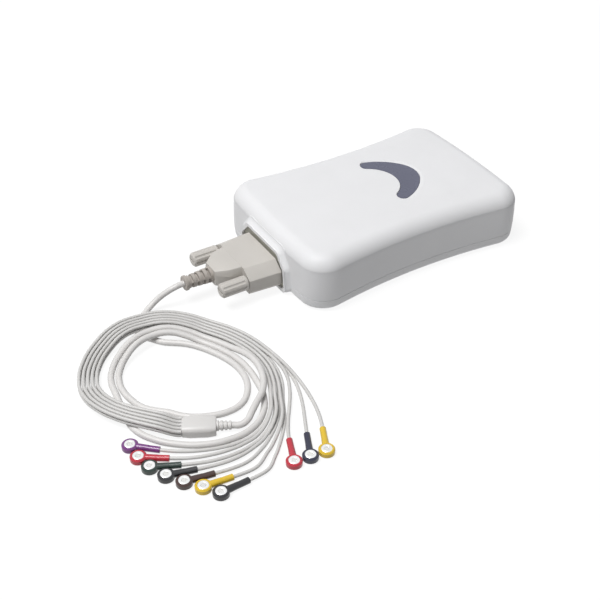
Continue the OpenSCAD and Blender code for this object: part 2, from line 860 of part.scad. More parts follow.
module jack_nuts() {
    nut_y = flange_y + socket_flange_t;
    color(steel) in_place()
        at_jacks()
            difference() {
                rod_y(nut_y, nut_y + 2.2, jack_af / cos(30), sides = 6);
                rod_y(nut_y - 1, nut_y + 3, thread_d + 2 * bite_gap);
            }
}

// Cable plug

// Hood cross-section with half width w, half height h and a shoulder on each side
function hood_section(w, top_w, h, r) =
    rounded(mirrored([
        [w - 1.2, conn_z - h, r], [w, conn_z - h + 2, r], [w, conn_z + 2.2, r],
        [top_w, conn_z + h, r]]), 3);
// Outline inside the hood's wall
function hood_room(d) = hood_section(hood_w - hood_t - d, hood_top_w - 0.7 * hood_t - d,
    hood_h - hood_t - d, 0.6);
module hood_slice(y, w, top_w, h, r) {
    along_y(y, y + 0.2)
        polygon(hood_section(w, top_w, h, r));
}

module plug_hood() {
    color(beige) in_place()
        difference() {
            union() {
                hull() {
                    hood_slice(hood_front - 0.2, hood_w, hood_top_w, hood_h, 0.9);
                    hood_slice(hood_ear, hood_w - 1.2, 13.2, hood_h - 0.4, 0.9);
                }
                hull() {
                    hood_slice(hood_ear + 3, 12.4, 11.6, hood_h - 0.35, 0.9);
                    hood_slice(hood_back + 6.5, 10.8, 9.6, hood_h - 0.8, 0.9);
                    hood_slice(hood_back, 5.8, 5, boot_d / 2 + 0.4, 0.9);
                }
            }
            along_y(plug_flange_y - plug_flange_t, hood_front + 1)
                polygon(hood_room(0));
            d_bar(plug_w, plug_h, 2.9, plug_body_back, hood_front + 1);
            at_jacks() {
                rod_y(hood_ear - 1, hood_front + 1, 2 * hood_hole_r);
                rod_y(clip_y - clip_t - undo_l - 0.3, clip_y + 0.3, clip_d + 0.4);
            }
        }
}

plug_body_back = plug_flange_y - 6;

module cable_boot() {
    slots = 4;
    slot_pitch = 3.4;
    slot_t = 1.6;
    slot_w = 5.2;
    boot_core_d = trunk_d + 1;
    color(beige) in_place()
        difference() {
            translate([0, hood_back, conn_z])
                rotate([90, 0, 0])
                    rotate_extrude($fn = 40)
                        polygon([
                            [0, 0], [boot_d / 2, 0], [boot_d / 2, 1.2],
                            [boot_d / 2 - 0.9, boot_l - 1.9], [boot_d / 2 - 0.2, boot_l - 1.6],
                            [boot_d / 2 - 0.2, boot_l - 0.3], [boot_d / 2 - 0.5, boot_l],
                            [0, boot_l]]);
            for (i = [0:slots - 1], side = [30, 120, 210, 300])
                translate([0, hood_back - 1.6 - slot_pitch * i, conn_z])
                    rotate([0, side, 0])
                        translate([boot_core_d / 2, -slot_t, -slot_w / 2])
                            cube([boot_d, slot_t, slot_w]);
        }
}

module plug_shell() {
    color(steel) in_place()
        difference() {
            union() {
                along_y(plug_flange_y - plug_flange_t, plug_flange_y)
                    polygon(hood_room(fit_gap));
                d_bar(plug_w, plug_h, 2.9, plug_flange_y - 0.4, flange_y - 0.6);
            }
            d_bar(plug_w - 2 * shell_t, plug_h - 2 * shell_t, 2.5,
                plug_flange_y - 2, flange_y + 1);
            at_jacks()
                rod_y(plug_flange_y - 2, plug_flange_y + 1, 2 * hood_hole_r);
        }
}

module plug_insulator() {
    inset = 2 * shell_t + 2 * fit_gap;
    color(black) in_place()
        difference() {
            d_bar(plug_w - inset, plug_h - inset, 2.4, plug_body_back, socket_front - 0.5);
            at_contacts()
                rod_y(plug_body_back - 1, socket_front + 1, pin_d + 2 * bite_gap);
        }
}

module plug_pins() {
    color(brass) in_place()
        at_contacts()
            rod_y(plug_body_back, socket_front + 4.9, pin_d, sides = 20);
}

module keeper_clip(side) {
    color(steel) in_place()
        translate([side * jack_x, 0, 0])
            difference() {
                rod_y(clip_y - clip_t, clip_y, clip_d);
                rod_y(clip_y - 2, clip_y + 1, thread_d - 0.5 + 2 * run_gap);
                translate([-0.6, clip_y - 2, conn_z - clip_d])
                    cube([1.2, 4, clip_d]);
            }
}

module thumbscrew(side) {
    flutes = 8;
    flute_d = 3;
    flute_h = 0.4;
    slot_w = 5.6;
    slot_t = 1.1;
    neck_d = thread_d - 0.5;
    color(beige) in_place()
        translate([side * jack_x, 0, 0])
            difference() {
                union() {
                    rod_y(knob_front - 1, clip_y - clip_t - run_gap, thread_d);
                    rod_y(clip_y - 1.5, clip_y + 1, neck_d);
                    rod_y(clip_y + run_gap, thread_tip, thread_d);
                    translate([0, knob_front, conn_z])
                        rotate([90, 0, 0])
                            rotate_extrude($fn = 40)
                                polygon([
                                    [0, 0], [knob_d / 2 - 0.6, 0], [knob_d / 2, 0.8],
                                    [knob_d / 2, knob_l - 1], [knob_d / 2 - 1, knob_l],
                                    [0, knob_l]]);
                }
                for (i = [0:flutes - 1])
                    translate([0, 0, conn_z])
                        rotate([0, 360 * i / flutes, 0])
                            translate([knob_d / 2 + flute_d / 2 - flute_h, 0, -conn_z])
                                rod_y(knob_front - knob_l - 1, knob_front - 2, flute_d,
                                    sides = 24);
                translate([-slot_w / 2, knob_front - knob_l - 1, conn_z - slot_t / 2])
                    cube([slot_w, 2.2, slot_t]);
            }
}

// Trunk cable: a free stretch from the strain relief, then loops round the coil

// Angles run clockwise seen from above, from +X
function coil_inner(w) = coil_r + coil_oval * cos(2 * (w + coil_turn));
function on_coil(out, w, z) =
    let (r = coil_inner(w) + out)
    [coil_x + r * cos(w), coil_y - r * sin(w), z];

// Distances of the trunk's three turns from the coil's inner edge
trunk_slot = trunk_d + 0.65;
trunk_out = trunk_d / 2;
strand_lift = trunk_d + 0.55;
coil_start = -165;
coil_end = 690;
loop_step = 15;

function trunk_over(w) = let (t = w - coil_start)
    (t > 200 ? strand_lift * hump(t, 300, 330, 358, 395) : 0)
    + (t > 500 ? strand_lift * hump(t, 660, 690, 718, 755) : 0);
function trunk_point(w) =
    let (t = w - coil_start)
    let (slot = trunk_slot * (ramp(t, 315, 360) + ramp(t, 675, 720)))
    let (beside_yoke = -4.1 * hump(t, 130, 172, 204, 244))
    let (round_yoke = 11.1 * hump(t, 455, 516, 573, 632))
    let (onto_yoke = strand_lift * ramp(t, 770, 812))
    on_coil(trunk_out + slot + beside_yoke + round_yoke, w,
        trunk_d / 2 + trunk_over(w) + onto_yoke);

function along(p, way, d) = p + d * [cos(way), sin(way), 0];
function bezier(a, b, c, d, t) =
    pow(1 - t, 3) * a + 3 * pow(1 - t, 2) * t * b + 3 * (1 - t) * t * t * c + pow(t, 3) * d;
// Smooth link between two points with given directions, without its first point
function link(a, way_a, len_a, b, way_b, len_b, steps) =
    [for (i = [1:steps])
        bezier(a, along(a, way_a, len_a), along(b, way_b, -len_b), b, i / steps)];

yoke_way = -118;
yoke_end = [89.2, -171.6];
yoke_boot_z = 3;
yoke_start = along([yoke_end[0], yoke_end[1], 0], yoke_way, -yoke_l);
yoke_tip = along([yoke_start[0], yoke_start[1], yoke_boot_z], yoke_way, -yoke_boot_l);

trunk_path = let (last = trunk_point(coil_end), before = trunk_point(coil_end - 1))
    let (way = atan2(last[1] - before[1], last[0] - before[0]))
    concat(
        [for (w = [coil_start:loop_step:coil_end]) trunk_point(w)],
        link(last, way, 4, along(yoke_tip, yoke_way, -trunk_d), yoke_way, 4, 3),
        [yoke_tip]);

// Points of the free stretch, which drops to the table and turns under the coil
LEAD_IN = [
    [0, -127, 12.4], [0, -130, 12], [-1, -135, 9.8], [-2, -140, 6.6], [-1.5, -145, 3.6],
    [1, -150, 1.9], [4.6, -155, 1.7], [10, -158.6, 1.7], [16, -158.8, 1.7], [21.2, -155.6, 1.7]];
lead_in_path = let (start = trunk_path[0], way = unit(trunk_path[1] - trunk_path[0]))
    concat([[0, boot_back, conn_z]], LEAD_IN, [start - way * trunk_d, start]);

module trunk_lead_in() {
    color(wire_white) in_place()
        tube(lead_in_path, trunk_d, 8);
}

module trunk_coil() {
    color(wire_white) in_place()
        tube(trunk_path, trunk_d, 6);
}

module yoke() {
    color(wire_white) in_place()
        translate([yoke_end[0], yoke_end[1], 0])
            rotate(yoke_way)
                hull() {
                    for (x = [-yoke_l, 0])
                        translate([x == 0 ? -1 : x, 0, 0])
                            rotate([90, 0, 90])
                                linear_extrude(1)
                                    polygon(rounded([
                                        [-yoke_w / 2 + 0.8, 0, 1.6], [yoke_w / 2 - 0.8, 0, 1.6],
                                        [yoke_w / 2 - 0.8, yoke_h - 0.6, 2],
                                        [-yoke_w / 2 + 0.8, yoke_h - 0.6, 2]], 4));
                    translate([-yoke_l + 4, 0, 0])
                        rotate([90, 0, 90])
                            linear_extrude(yoke_l - 8)
                                polygon(rounded([
                                    [-yoke_w / 2, 0, 1.6], [yoke_w / 2, 0, 1.6],
                                    [yoke_w / 2, yoke_h, 2.4], [-yoke_w / 2, yoke_h, 2.4]], 4));
                }
}

module yoke_boot() {
    ribs = 4;
    pitch = yoke_boot_l / ribs;
    color(wire_white) in_place()
        translate([yoke_start[0], yoke_start[1], yoke_boot_z])
            rotate([0, -90, yoke_way])
                rotate_extrude($fn = 32)
                    polygon(concat(
                        [[0, 0]],
                        [for (i = [0:ribs - 1]) let (r = yoke_boot_d / 2 - 0.12 * i)
                            each [[r, i * pitch], [r, (i + 0.6) * pitch],
                                [r - 0.6, (i + 0.6) * pitch], [r - 0.6, (i + 1) * pitch]]],
                        [[0, yoke_boot_l]]));
}

// Leads: name, column in the coil, layer, where it fans out, and its snap connector

lead_slot = 2.25;
lead_out = trunk_out + 2 * trunk_slot + trunk_d / 2 + lead_d / 2 + 0.3;
cross_z = trunk_d + lead_d / 2 + 0.3;
// [name, column, layer, fan start, fan end, fan distance, last angle,
//  [head x, y], head direction, reach out of the coil, reach into the sleeve]
LEADS = [
    ["c6", 0, 0, 305, 350, 7, 345, [86.6, -197.4], 49, 14, 12],
    ["c1", 0, 1, 306, 350, 9, 345, [95.4, -197.2], 57, 14, 13],
    ["c3", 1, 0, 307, 351, 8.9, 345, [103.7, -195.3], 65, 14, 14],
    ["c5", 1, 1, 307, 351, 10.9, 345, [112.3, -191.2], 75, 14, 14],
    ["c4", 2, 0, 309, 360, 12.8, 345, [120, -185.8], 80, 14, 15],
    ["c2", 2, 1, 305, 362, 17.4, 345, [127.2, -179.8], 84, 15, 14],
    ["n", 3, 0, 310, 372, 25.1, 345, [134.4, -174.6], 91, 12, 12],
    ["r", 3, 1, 270, 330, 9, 285, [135.4, -136.9], 158, 20, 14],
    ["f", 4, 0, 270, 330, 9, 285, [136.2, -128.5], 155, 20, 14],
    ["l", 4, 1, 270, 330, 9, 285, [137, -120.1], 155, 15, 16]];

function layer_z(layer, low) = low + lead_slot * layer;
function lead_point(d, w) =
    let (joined = ramp(w, 50, 105), fan = d[5] * ramp(w, d[3], d[4]))
    let (column = lead_out + lead_slot * d[1] + fan)
    let (free_r = norm([yoke_end[0] - coil_x, yoke_end[1] - coil_y]) + lead_slot * (d[1] - 2))
    let (out = (free_r - coil_inner(w)) * (1 - joined) + column * joined)
    let (up = layer_z(d[2], yoke_low), over = layer_z(d[2], cross_z))
    let (down = layer_z(d[2] * (1 - ramp(w, 335, 352)), lead_d / 2))
    let (z = up + (over - up) * ramp(w, 30, 47) + (down - over) * ramp(w, 92, 130))
    on_coil(out, w, z + strand_lift * hump(w, 140, 165, 195, 228));
yoke_low = 2.2;
sleeve_z = 1.7;

function lead_path(d) =
    let (way = [cos(yoke_way), sin(yoke_way), 0], side = [sin(yoke_way), -cos(yoke_way), 0])
    let (face = [yoke_end[0], yoke_end[1], layer_z(d[2], yoke_low)])
    let (root = face - side * lead_slot * (d[1] - 2))
    let (last = lead_point(d, d[6]), before = lead_point(d, d[6] - 1))
    let (leave = atan2(last[1] - before[1], last[0] - before[0]))
    let (sleeve = along([d[7][0], d[7][1], sleeve_z], d[8], sleeve_l))
    concat(
        [root, root + way * lead_d],
        [for (w = [45:loop_step:d[6]]) lead_point(d, w)],
        link(last, leave, d[9], along(sleeve, d[8], lead_d), d[8] + 180, d[10], 5),
        [sleeve]);

module lead(i) {
    color(wire_white) in_place()
        tube(lead_path(LEADS[i]), lead_d, 6);
}

// Snap connectors at the ends of the leads

snap_body_h = 2.8;
groove_h = 0.6;

module at_head(i) {
    translate(LEADS[i][7])
        rotate(LEADS[i][8])
            children();
}

module snap_head(i, shade) {
    color(shade) in_place()
        at_head(i)
            difference() {
                union() {
                    rotate_extrude($fn = 40)
                        polygon([
                            [0, 0.3], [head_d / 2 - 0.4, 0.3], [head_d / 2, 0.7],
                            [head_d / 2, head_h - 0.6], [head_d / 2 - 0.6, head_h], [0, head_h]]);
                    translate([0, 0, sleeve_z])
                        rotate([0, 90, 0])
                            cylinder(h = sleeve_l, d = sleeve_d, $fn = 28);
                    translate([0, 0, sleeve_z + 0.1])
                        rotate([0, 90, 0])
                            cylinder(h = sleeve_l * 0.62, d1 = sleeve_d + 0.6, d2 = sleeve_d,
                                $fn = 28);
                }
                post(-1, snap_body_h + 0.02, snap_d + 0.04);
                post(0, head_h + 1, ring_d + 0.04);
            }
}

module snap_sockets() {
    r = stud_d / 2;
    color(steel) in_place()
        for (i = [0:len(LEADS) - 1])
            at_head(i)
                rotate_extrude($fn = 40)
                    polygon([
                        [r, 0], [snap_d / 2, 0], [snap_d / 2, snap_body_h],
                        [ring_d / 2, snap_body_h], [ring_d / 2, head_h - 0.1],
                        [ring_d / 2 - 0.35, head_h + 0.15], [eye_d / 2 + 0.3, head_h + 0.15],
                        [eye_d / 2, head_h - 0.1], [eye_d / 2, stud_h + groove_h],
                        [r + 0.6, stud_h + groove_h], [r + 0.6, stud_h], [r, stud_h]]);
}

module snap_springs() {
    r = stud_d / 2 + 0.3;
    color(brass) in_place()
        for (i = [0:len(LEADS) - 1])
            at_head(i)
                translate([0, 0, stud_h + groove_h / 2])
                    rotate_extrude(angle = 300, $fn = 32)
                        translate([r, 0])
                            circle(d = spring_d, $fn = 14);
}

// Least gap of the trunk to itself and of each lead to its neighbours, on points
function near(p, q, skip) =
    min([for (i = [0:len(p) - 1], j = [0:len(q) - 1]) if (abs(i - j) > skip) norm(p[i] - q[j])]);
echo(least_gap_trunk_to_itself = near(trunk_path, trunk_path, 6) - trunk_d);
echo(least_gap_between_leads = min([
    for (a = [0:len(LEADS) - 2], b = [a + 1:len(LEADS) - 1])
        near(lead_path(LEADS[a]), lead_path(LEADS[b]), -1)]) - lead_d);

top_cover();
bottom_cover();
indicator_lens();
light_guide();
indicator_leds();
main_board();
board_chips();
isolation_transformer();
shield_can();
connector_panel();
panel_gasket();
socket_shell();
socket_insulator();
socket_contacts();
jack_screws();
jack_nuts();
usb_shell();
usb_insulator();
board_screws();
case_screws();
rubber_feet();
plug_hood();
cable_boot();
plug_shell();
plug_insulator();
plug_pins();
keeper_clip(-1);  // clip_left
keeper_clip(1);  // clip_right
thumbscrew(-1);  // thumbscrew_left
thumbscrew(1);  // thumbscrew_right
trunk_lead_in();
trunk_coil();
yoke();
yoke_boot();
lead(0);  // lead_c6
lead(1);  // lead_c1
lead(2);  // lead_c3
lead(3);  // lead_c5
lead(4);  // lead_c4
lead(5);  // lead_c2
lead(6);  // lead_n
lead(7);  // lead_r
lead(8);  // lead_f
lead(9);  // lead_l
snap_head(0, [0.5, 0.2, 0.5]);  // snap_c6
snap_head(1, [0.75, 0.1, 0.12]);  // snap_c1
snap_head(2, [0.1, 0.14, 0.12]);  // snap_c3
snap_head(3, black);  // snap_c5
snap_head(4, [0.2, 0.12, 0.1]);  // snap_c4
snap_head(5, [0.9, 0.78, 0.15]);  // snap_c2
snap_head(6, black);  // snap_n
snap_head(7, [0.8, 0.1, 0.12]);  // snap_r
snap_head(8, [0.1, 0.1, 0.2]);  // snap_f
snap_head(9, [0.9, 0.78, 0.15]);  // snap_l
snap_sockets();
snap_springs();
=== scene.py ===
# %% [markdown]
# # A recorder box with its coiled patient cable
#
# The object is a flat white plastic box that records a heart's signals for a computer.
# A grey plug is screwed to one end. Its cable lies coiled on the table, splits in a small
# yoke into ten thin leads, and each lead ends in a coloured snap connector.
#
# The pieces that carry and fit already exist as an exact model. This lesson loads that
# model as a fixed frame, then gives every piece the surface that the real one has.

# %% Load the fixed frame
import json
import math

import bmesh
import bpy
from mathutils import Matrix, Vector


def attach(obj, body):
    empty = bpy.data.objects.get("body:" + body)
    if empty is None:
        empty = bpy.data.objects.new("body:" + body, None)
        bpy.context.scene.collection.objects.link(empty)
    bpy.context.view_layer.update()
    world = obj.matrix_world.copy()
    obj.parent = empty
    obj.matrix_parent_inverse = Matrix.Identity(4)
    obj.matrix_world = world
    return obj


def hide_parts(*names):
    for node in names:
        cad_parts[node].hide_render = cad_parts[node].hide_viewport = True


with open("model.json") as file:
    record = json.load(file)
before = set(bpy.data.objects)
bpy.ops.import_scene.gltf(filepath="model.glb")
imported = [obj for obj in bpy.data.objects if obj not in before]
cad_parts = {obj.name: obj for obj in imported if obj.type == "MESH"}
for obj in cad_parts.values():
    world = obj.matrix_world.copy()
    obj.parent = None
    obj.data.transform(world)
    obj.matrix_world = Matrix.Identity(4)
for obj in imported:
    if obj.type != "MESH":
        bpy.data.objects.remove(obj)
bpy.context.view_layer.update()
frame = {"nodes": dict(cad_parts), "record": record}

MM = 0.001
scene = bpy.context.scene


# %% [markdown]
# ## The camera
#
# The picture was taken from the long side of the box, a little towards the plug, and from
# well above the table. Four values say that: the angle round the object, the height
# angle, the distance, and a tiny roll. Building the camera's matrix from them keeps the
# view easy to change, where typing in a rotation would not.

# %% Camera
VIEW_AROUND = math.radians(58.376)
VIEW_UP = math.radians(38.263)
VIEW_ROLL = math.radians(0.208)
VIEW_DISTANCE = 600.7 * MM
VIEW_TARGET = Vector((31.8, -68.0, 0.0)) * MM
VIEW_LENS, VIEW_SENSOR, VIEW_NEAREST = 65.32, 36.0, 10 * MM

back = Vector((
    math.sin(VIEW_AROUND) * math.cos(VIEW_UP),
    -math.cos(VIEW_AROUND) * math.cos(VIEW_UP),
    math.sin(VIEW_UP)))
level = Vector((math.cos(VIEW_AROUND), math.sin(VIEW_AROUND), 0.0))
over = back.cross(level)
right = level * math.cos(VIEW_ROLL) + over * math.sin(VIEW_ROLL)
above = over * math.cos(VIEW_ROLL) - level * math.sin(VIEW_ROLL)

camera = bpy.data.objects.new("camera", bpy.data.cameras.new("camera"))
camera.data.lens = VIEW_LENS
camera.data.sensor_width = VIEW_SENSOR
camera.data.clip_start = VIEW_NEAREST
camera.matrix_world = Matrix.Translation(VIEW_TARGET + back * VIEW_DISTANCE) @ Matrix(
    (right, above, back)).transposed().to_4x4()
scene.collection.objects.link(camera)
scene.camera = camera
print("camera at", [round(v, 3) for v in camera.location])


# %% [markdown]
# ## The route of the cable
#
# A cable is one smooth line with a thickness. The trunk leaves its strain relief level,
# drops to the table, turns back under the coil and then goes round it a little more than
# twice. The free stretch is a list of given points. The coil follows a rule: an
# oval whose radius steps out by one slot each turn, with a low hump wherever the strand
# crosses another. A loop then writes down a point for every few degrees. The lowest points
# are a little above the table, because a smooth curve dips slightly between its points.

# %% Helpers for the routes
HOUSING_Y = 2.3
CONNECTOR_Z = 12.4
TRUNK_D = 3.4
LEAD_D = 1.8
COIL_CENTRE = (59.3, -156.0)
COIL_R = 28.5
COIL_OVAL = 4.2
COIL_TURN = 26.0


def metres(points):
    """Points in millimetres from the housing's middle, as metres in the frame."""
    return [Vector((x, y + HOUSING_Y, z)) * MM for x, y, z in points]


def ramp(x, a, b):
    """Goes smoothly from 0 at a to 1 at b."""
    t = min(max((x - a) / (b - a), 0.0), 1.0)
    return t * t * (3.0 - 2.0 * t)


def hump(t, a, b, c, d):
    """Rises from a to b, stays 1 and falls from c to d."""
    return ramp(t, a, b) * (1.0 - ramp(t, c, d))


def coil_inner(w):
    return COIL_R + COIL_OVAL * math.cos(math.radians(2.0 * (w + COIL_TURN)))


def on_coil(out, w, z):
    """A point of the coil at w degrees, that far out from its inner edge."""
    r, a = coil_inner(w) + out, math.radians(w)
    return Vector((COIL_CENTRE[0] + r * math.cos(a), COIL_CENTRE[1] - r * math.sin(a), z))


def along(point, way, distance):
    a = math.radians(way)
    return Vector(point) + Vector((math.cos(a), math.sin(a), 0.0)) * distance


def heading(before, after):
    return math.degrees(math.atan2(after[1] - before[1], after[0] - before[0]))


def link(a, way_a, reach_a, b, way_b, reach_b, steps):
    """Points of a smooth curve from a to b that leaves and arrives in the given ways."""
    p, q = along(a, way_a, reach_a), along(b, way_b, -reach_b)
    made = []
    for i in range(1, steps + 1):
        t = i / steps
        u = 1.0 - t
        made.append(u ** 3 * Vector(a) + 3 * u * u * t * p + 3 * u * t * t * q + t ** 3 * Vector(b))
    return made


def line_length(points):
    return sum((b - a).length for a, b in zip(points, points[1:]))


# %% The trunk's route
BOOT_BACK = -125.0
TRUNK_SLOT = TRUNK_D + 0.65
STRAND_LIFT = TRUNK_D + 0.55
COIL_START, COIL_END, LOOP_STEP = -165, 690, 15
YOKE_WAY = -118.0
YOKE_END = (89.2, -171.6)
YOKE_LENGTH = 16.5
YOKE_BOOT_LENGTH = 8.0
YOKE_BOOT_Z = 3.0
OFF_TABLE = 0.12
LEAD_IN = [
    (0, -127, 12.4), (0, -130, 12), (-1, -135, 9.8), (-2, -140, 6.6), (-1.5, -145, 3.7),
    (1, -150, 2.15), (4.6, -155, 1.9), (10, -158.6, 1.82), (16, -158.8, 1.82),
    (21.2, -155.6, 1.82)]
# Where things happen along the coil, in degrees from its start. A pair is a rise. Four
# numbers are a rise and the fall after it.
STEPS_OUT = ((315, 360), (675, 720))
CROSSINGS = ((300, 330, 358, 395), (660, 690, 718, 755))
LAST_RISE = (770, 812)
BESIDE_YOKE, BESIDE_YOKE_BY = (130, 172, 204, 244), -4.1
ROUND_YOKE, ROUND_YOKE_BY = (455, 516, 573, 632), 11.1
CLOSE_REACH, CLOSE_STEPS = 4, 3


def trunk_point(w):
    t = w - COIL_START
    slots = TRUNK_SLOT * sum(ramp(t, *step) for step in STEPS_OUT)
    bulge = BESIDE_YOKE_BY * hump(t, *BESIDE_YOKE) + ROUND_YOKE_BY * hump(t, *ROUND_YOKE)
    over = STRAND_LIFT * (ramp(t, *LAST_RISE) + sum(hump(t, *place) for place in CROSSINGS))
    return on_coil(TRUNK_D / 2 + slots + bulge, w, TRUNK_D / 2 + OFF_TABLE + over)


def trunk_route():
    turns = [trunk_point(w) for w in range(COIL_START, COIL_END + 1, LOOP_STEP)]
    yoke_start = along((*YOKE_END, 0), YOKE_WAY, -YOKE_LENGTH)
    yoke_tip = along((yoke_start[0], yoke_start[1], YOKE_BOOT_Z), YOKE_WAY, -YOKE_BOOT_LENGTH)
    way_in = (turns[1] - turns[0]).normalized()
    way_out = heading(trunk_point(COIL_END - 1), turns[-1])
    free = [Vector((0, BOOT_BACK, CONNECTOR_Z))] + [Vector(p) for p in LEAD_IN]
    close = link(turns[-1], way_out, CLOSE_REACH, along(yoke_tip, YOKE_WAY, -TRUNK_D),
                 YOKE_WAY, CLOSE_REACH, CLOSE_STEPS)
    return free + [turns[0] - way_in * TRUNK_D] + turns + close + [yoke_tip]


trunk_line = metres(trunk_route())
print("trunk:", len(trunk_line), "points,", round(line_length(trunk_line), 4), "m")

# %% The leads' routes
LEAD_SLOT, LEAD_GAP = 2.25, 0.3
LEAD_OUT = TRUNK_D / 2 + 2 * TRUNK_SLOT + TRUNK_D / 2 + LEAD_D / 2 + LEAD_GAP
CROSS_Z = TRUNK_D + LEAD_D / 2 + LEAD_GAP
YOKE_LOW = 2.2
SLEEVE_Z = 1.7
SLEEVE_LENGTH = 14.5
MIDDLE_COLUMN = 2
# Angles on the coil, in degrees, where the leads join it, climb, come down and lie flat,
# and where they cross the trunk's free end.
LEAD_START, JOIN, CLIMB, DESCENT, FLATTEN = 45, (50, 105), (30, 47), (92, 130), (335, 352)
OVER_TRUNK = (140, 165, 195, 228)
LEAD_CLOSE_STEPS = 5
# name, column, layer, fan start, fan end, fan distance, last angle,
# head x and y, head direction, reach out of the coil, reach into the sleeve
LEADS = [
    ("c6", 0, 0, 305, 350, 7, 345, (86.6, -197.4), 49, 14, 12),
    ("c1", 0, 1, 306, 350, 9, 345, (95.4, -197.2), 57, 14, 13),
    ("c3", 1, 0, 307, 351, 8.9, 345, (103.7, -195.3), 65, 14, 14),
    ("c5", 1, 1, 307, 351, 10.9, 345, (112.3, -191.2), 75, 14, 14),
    ("c4", 2, 0, 309, 360, 12.8, 345, (120, -185.8), 80, 14, 15),
    ("c2", 2, 1, 305, 362, 17.4, 345, (127.2, -179.8), 84, 15, 14),
    ("n", 3, 0, 310, 372, 25.1, 345, (134.4, -174.6), 91, 12, 12),
    ("r", 3, 1, 270, 330, 9, 285, (135.4, -136.9), 158, 20, 14),
    ("f", 4, 0, 270, 330, 9, 285, (136.2, -128.5), 155, 20, 14),
    ("l", 4, 1, 270, 330, 9, 285, (137, -120.1), 155, 15, 16)]


def layer_z(layer, low):
    return low + LEAD_SLOT * layer


def lead_point(lead, w):
    column, layer, fan_from, fan_to, fan = lead[1:6]
    joined = ramp(w, *JOIN)
    in_coil = LEAD_OUT + LEAD_SLOT * column + fan * ramp(w, fan_from, fan_to)
    free_r = math.hypot(YOKE_END[0] - COIL_CENTRE[0], YOKE_END[1] - COIL_CENTRE[1])
    free_r += LEAD_SLOT * (column - MIDDLE_COLUMN)
    out = (free_r - coil_inner(w)) * (1.0 - joined) + in_coil * joined
    up, over = layer_z(layer, YOKE_LOW), layer_z(layer, CROSS_Z)
    down = layer_z(layer * (1.0 - ramp(w, *FLATTEN)), LEAD_D / 2 + OFF_TABLE)
    z = up + (over - up) * ramp(w, *CLIMB) + (down - over) * ramp(w, *DESCENT)
    return on_coil(out, w, z + STRAND_LIFT * hump(w, *OVER_TRUNK))


def lead_route(lead):
    column, layer, last_angle, head, way, reach_out, reach_in = lead[1], lead[2], *lead[6:]
    a = math.radians(YOKE_WAY)
    face = Vector((*YOKE_END, layer_z(layer, YOKE_LOW)))
    root = face - Vector((math.sin(a), -math.cos(a), 0.0)) * LEAD_SLOT * (column - MIDDLE_COLUMN)
    turns = [lead_point(lead, w) for w in range(LEAD_START, last_angle + 1, LOOP_STEP)]
    leave = heading(lead_point(lead, last_angle - 1), turns[-1])
    sleeve = along((*head, SLEEVE_Z), way, SLEEVE_LENGTH)
    close = link(turns[-1], leave, reach_out, along(sleeve, way, LEAD_D), way + 180, reach_in,
                 LEAD_CLOSE_STEPS)
    return [root, along(root, YOKE_WAY, LEAD_D)] + turns + close + [sleeve]


lead_lines = {lead[0]: metres(lead_route(lead)) for lead in LEADS}
print("leads:", {name: round(line_length(line), 4) for name, line in lead_lines.items()})


# %% [markdown]
# ## Finishes
#
# Every finish is built from the same few nodes. The colour drifts a little over
# centimetres, as moulded plastic does. Fine noise gives the surface its grain through a
# bump, and a slower noise makes some places glossier than others. Object coordinates are
# used, so a pattern stays with its piece when a joint moves it. The snaps and the lens get
# little else to reflect than a white studio, so their own colours carry the look.

# %% Material helper
DRIFT_SIZE, DRIFT_DETAIL, DRIFT_DARK, DRIFT_LIGHT = 22.0, 3.0, 0.3, 0.7
POLISH_SIZE, POLISH_DETAIL, GRAIN_DETAIL = 6.0, 4.0, 2.0
GLOW_RADIUS, GLOW_DEPTH = (1.0, 0.95, 0.9), 1.2


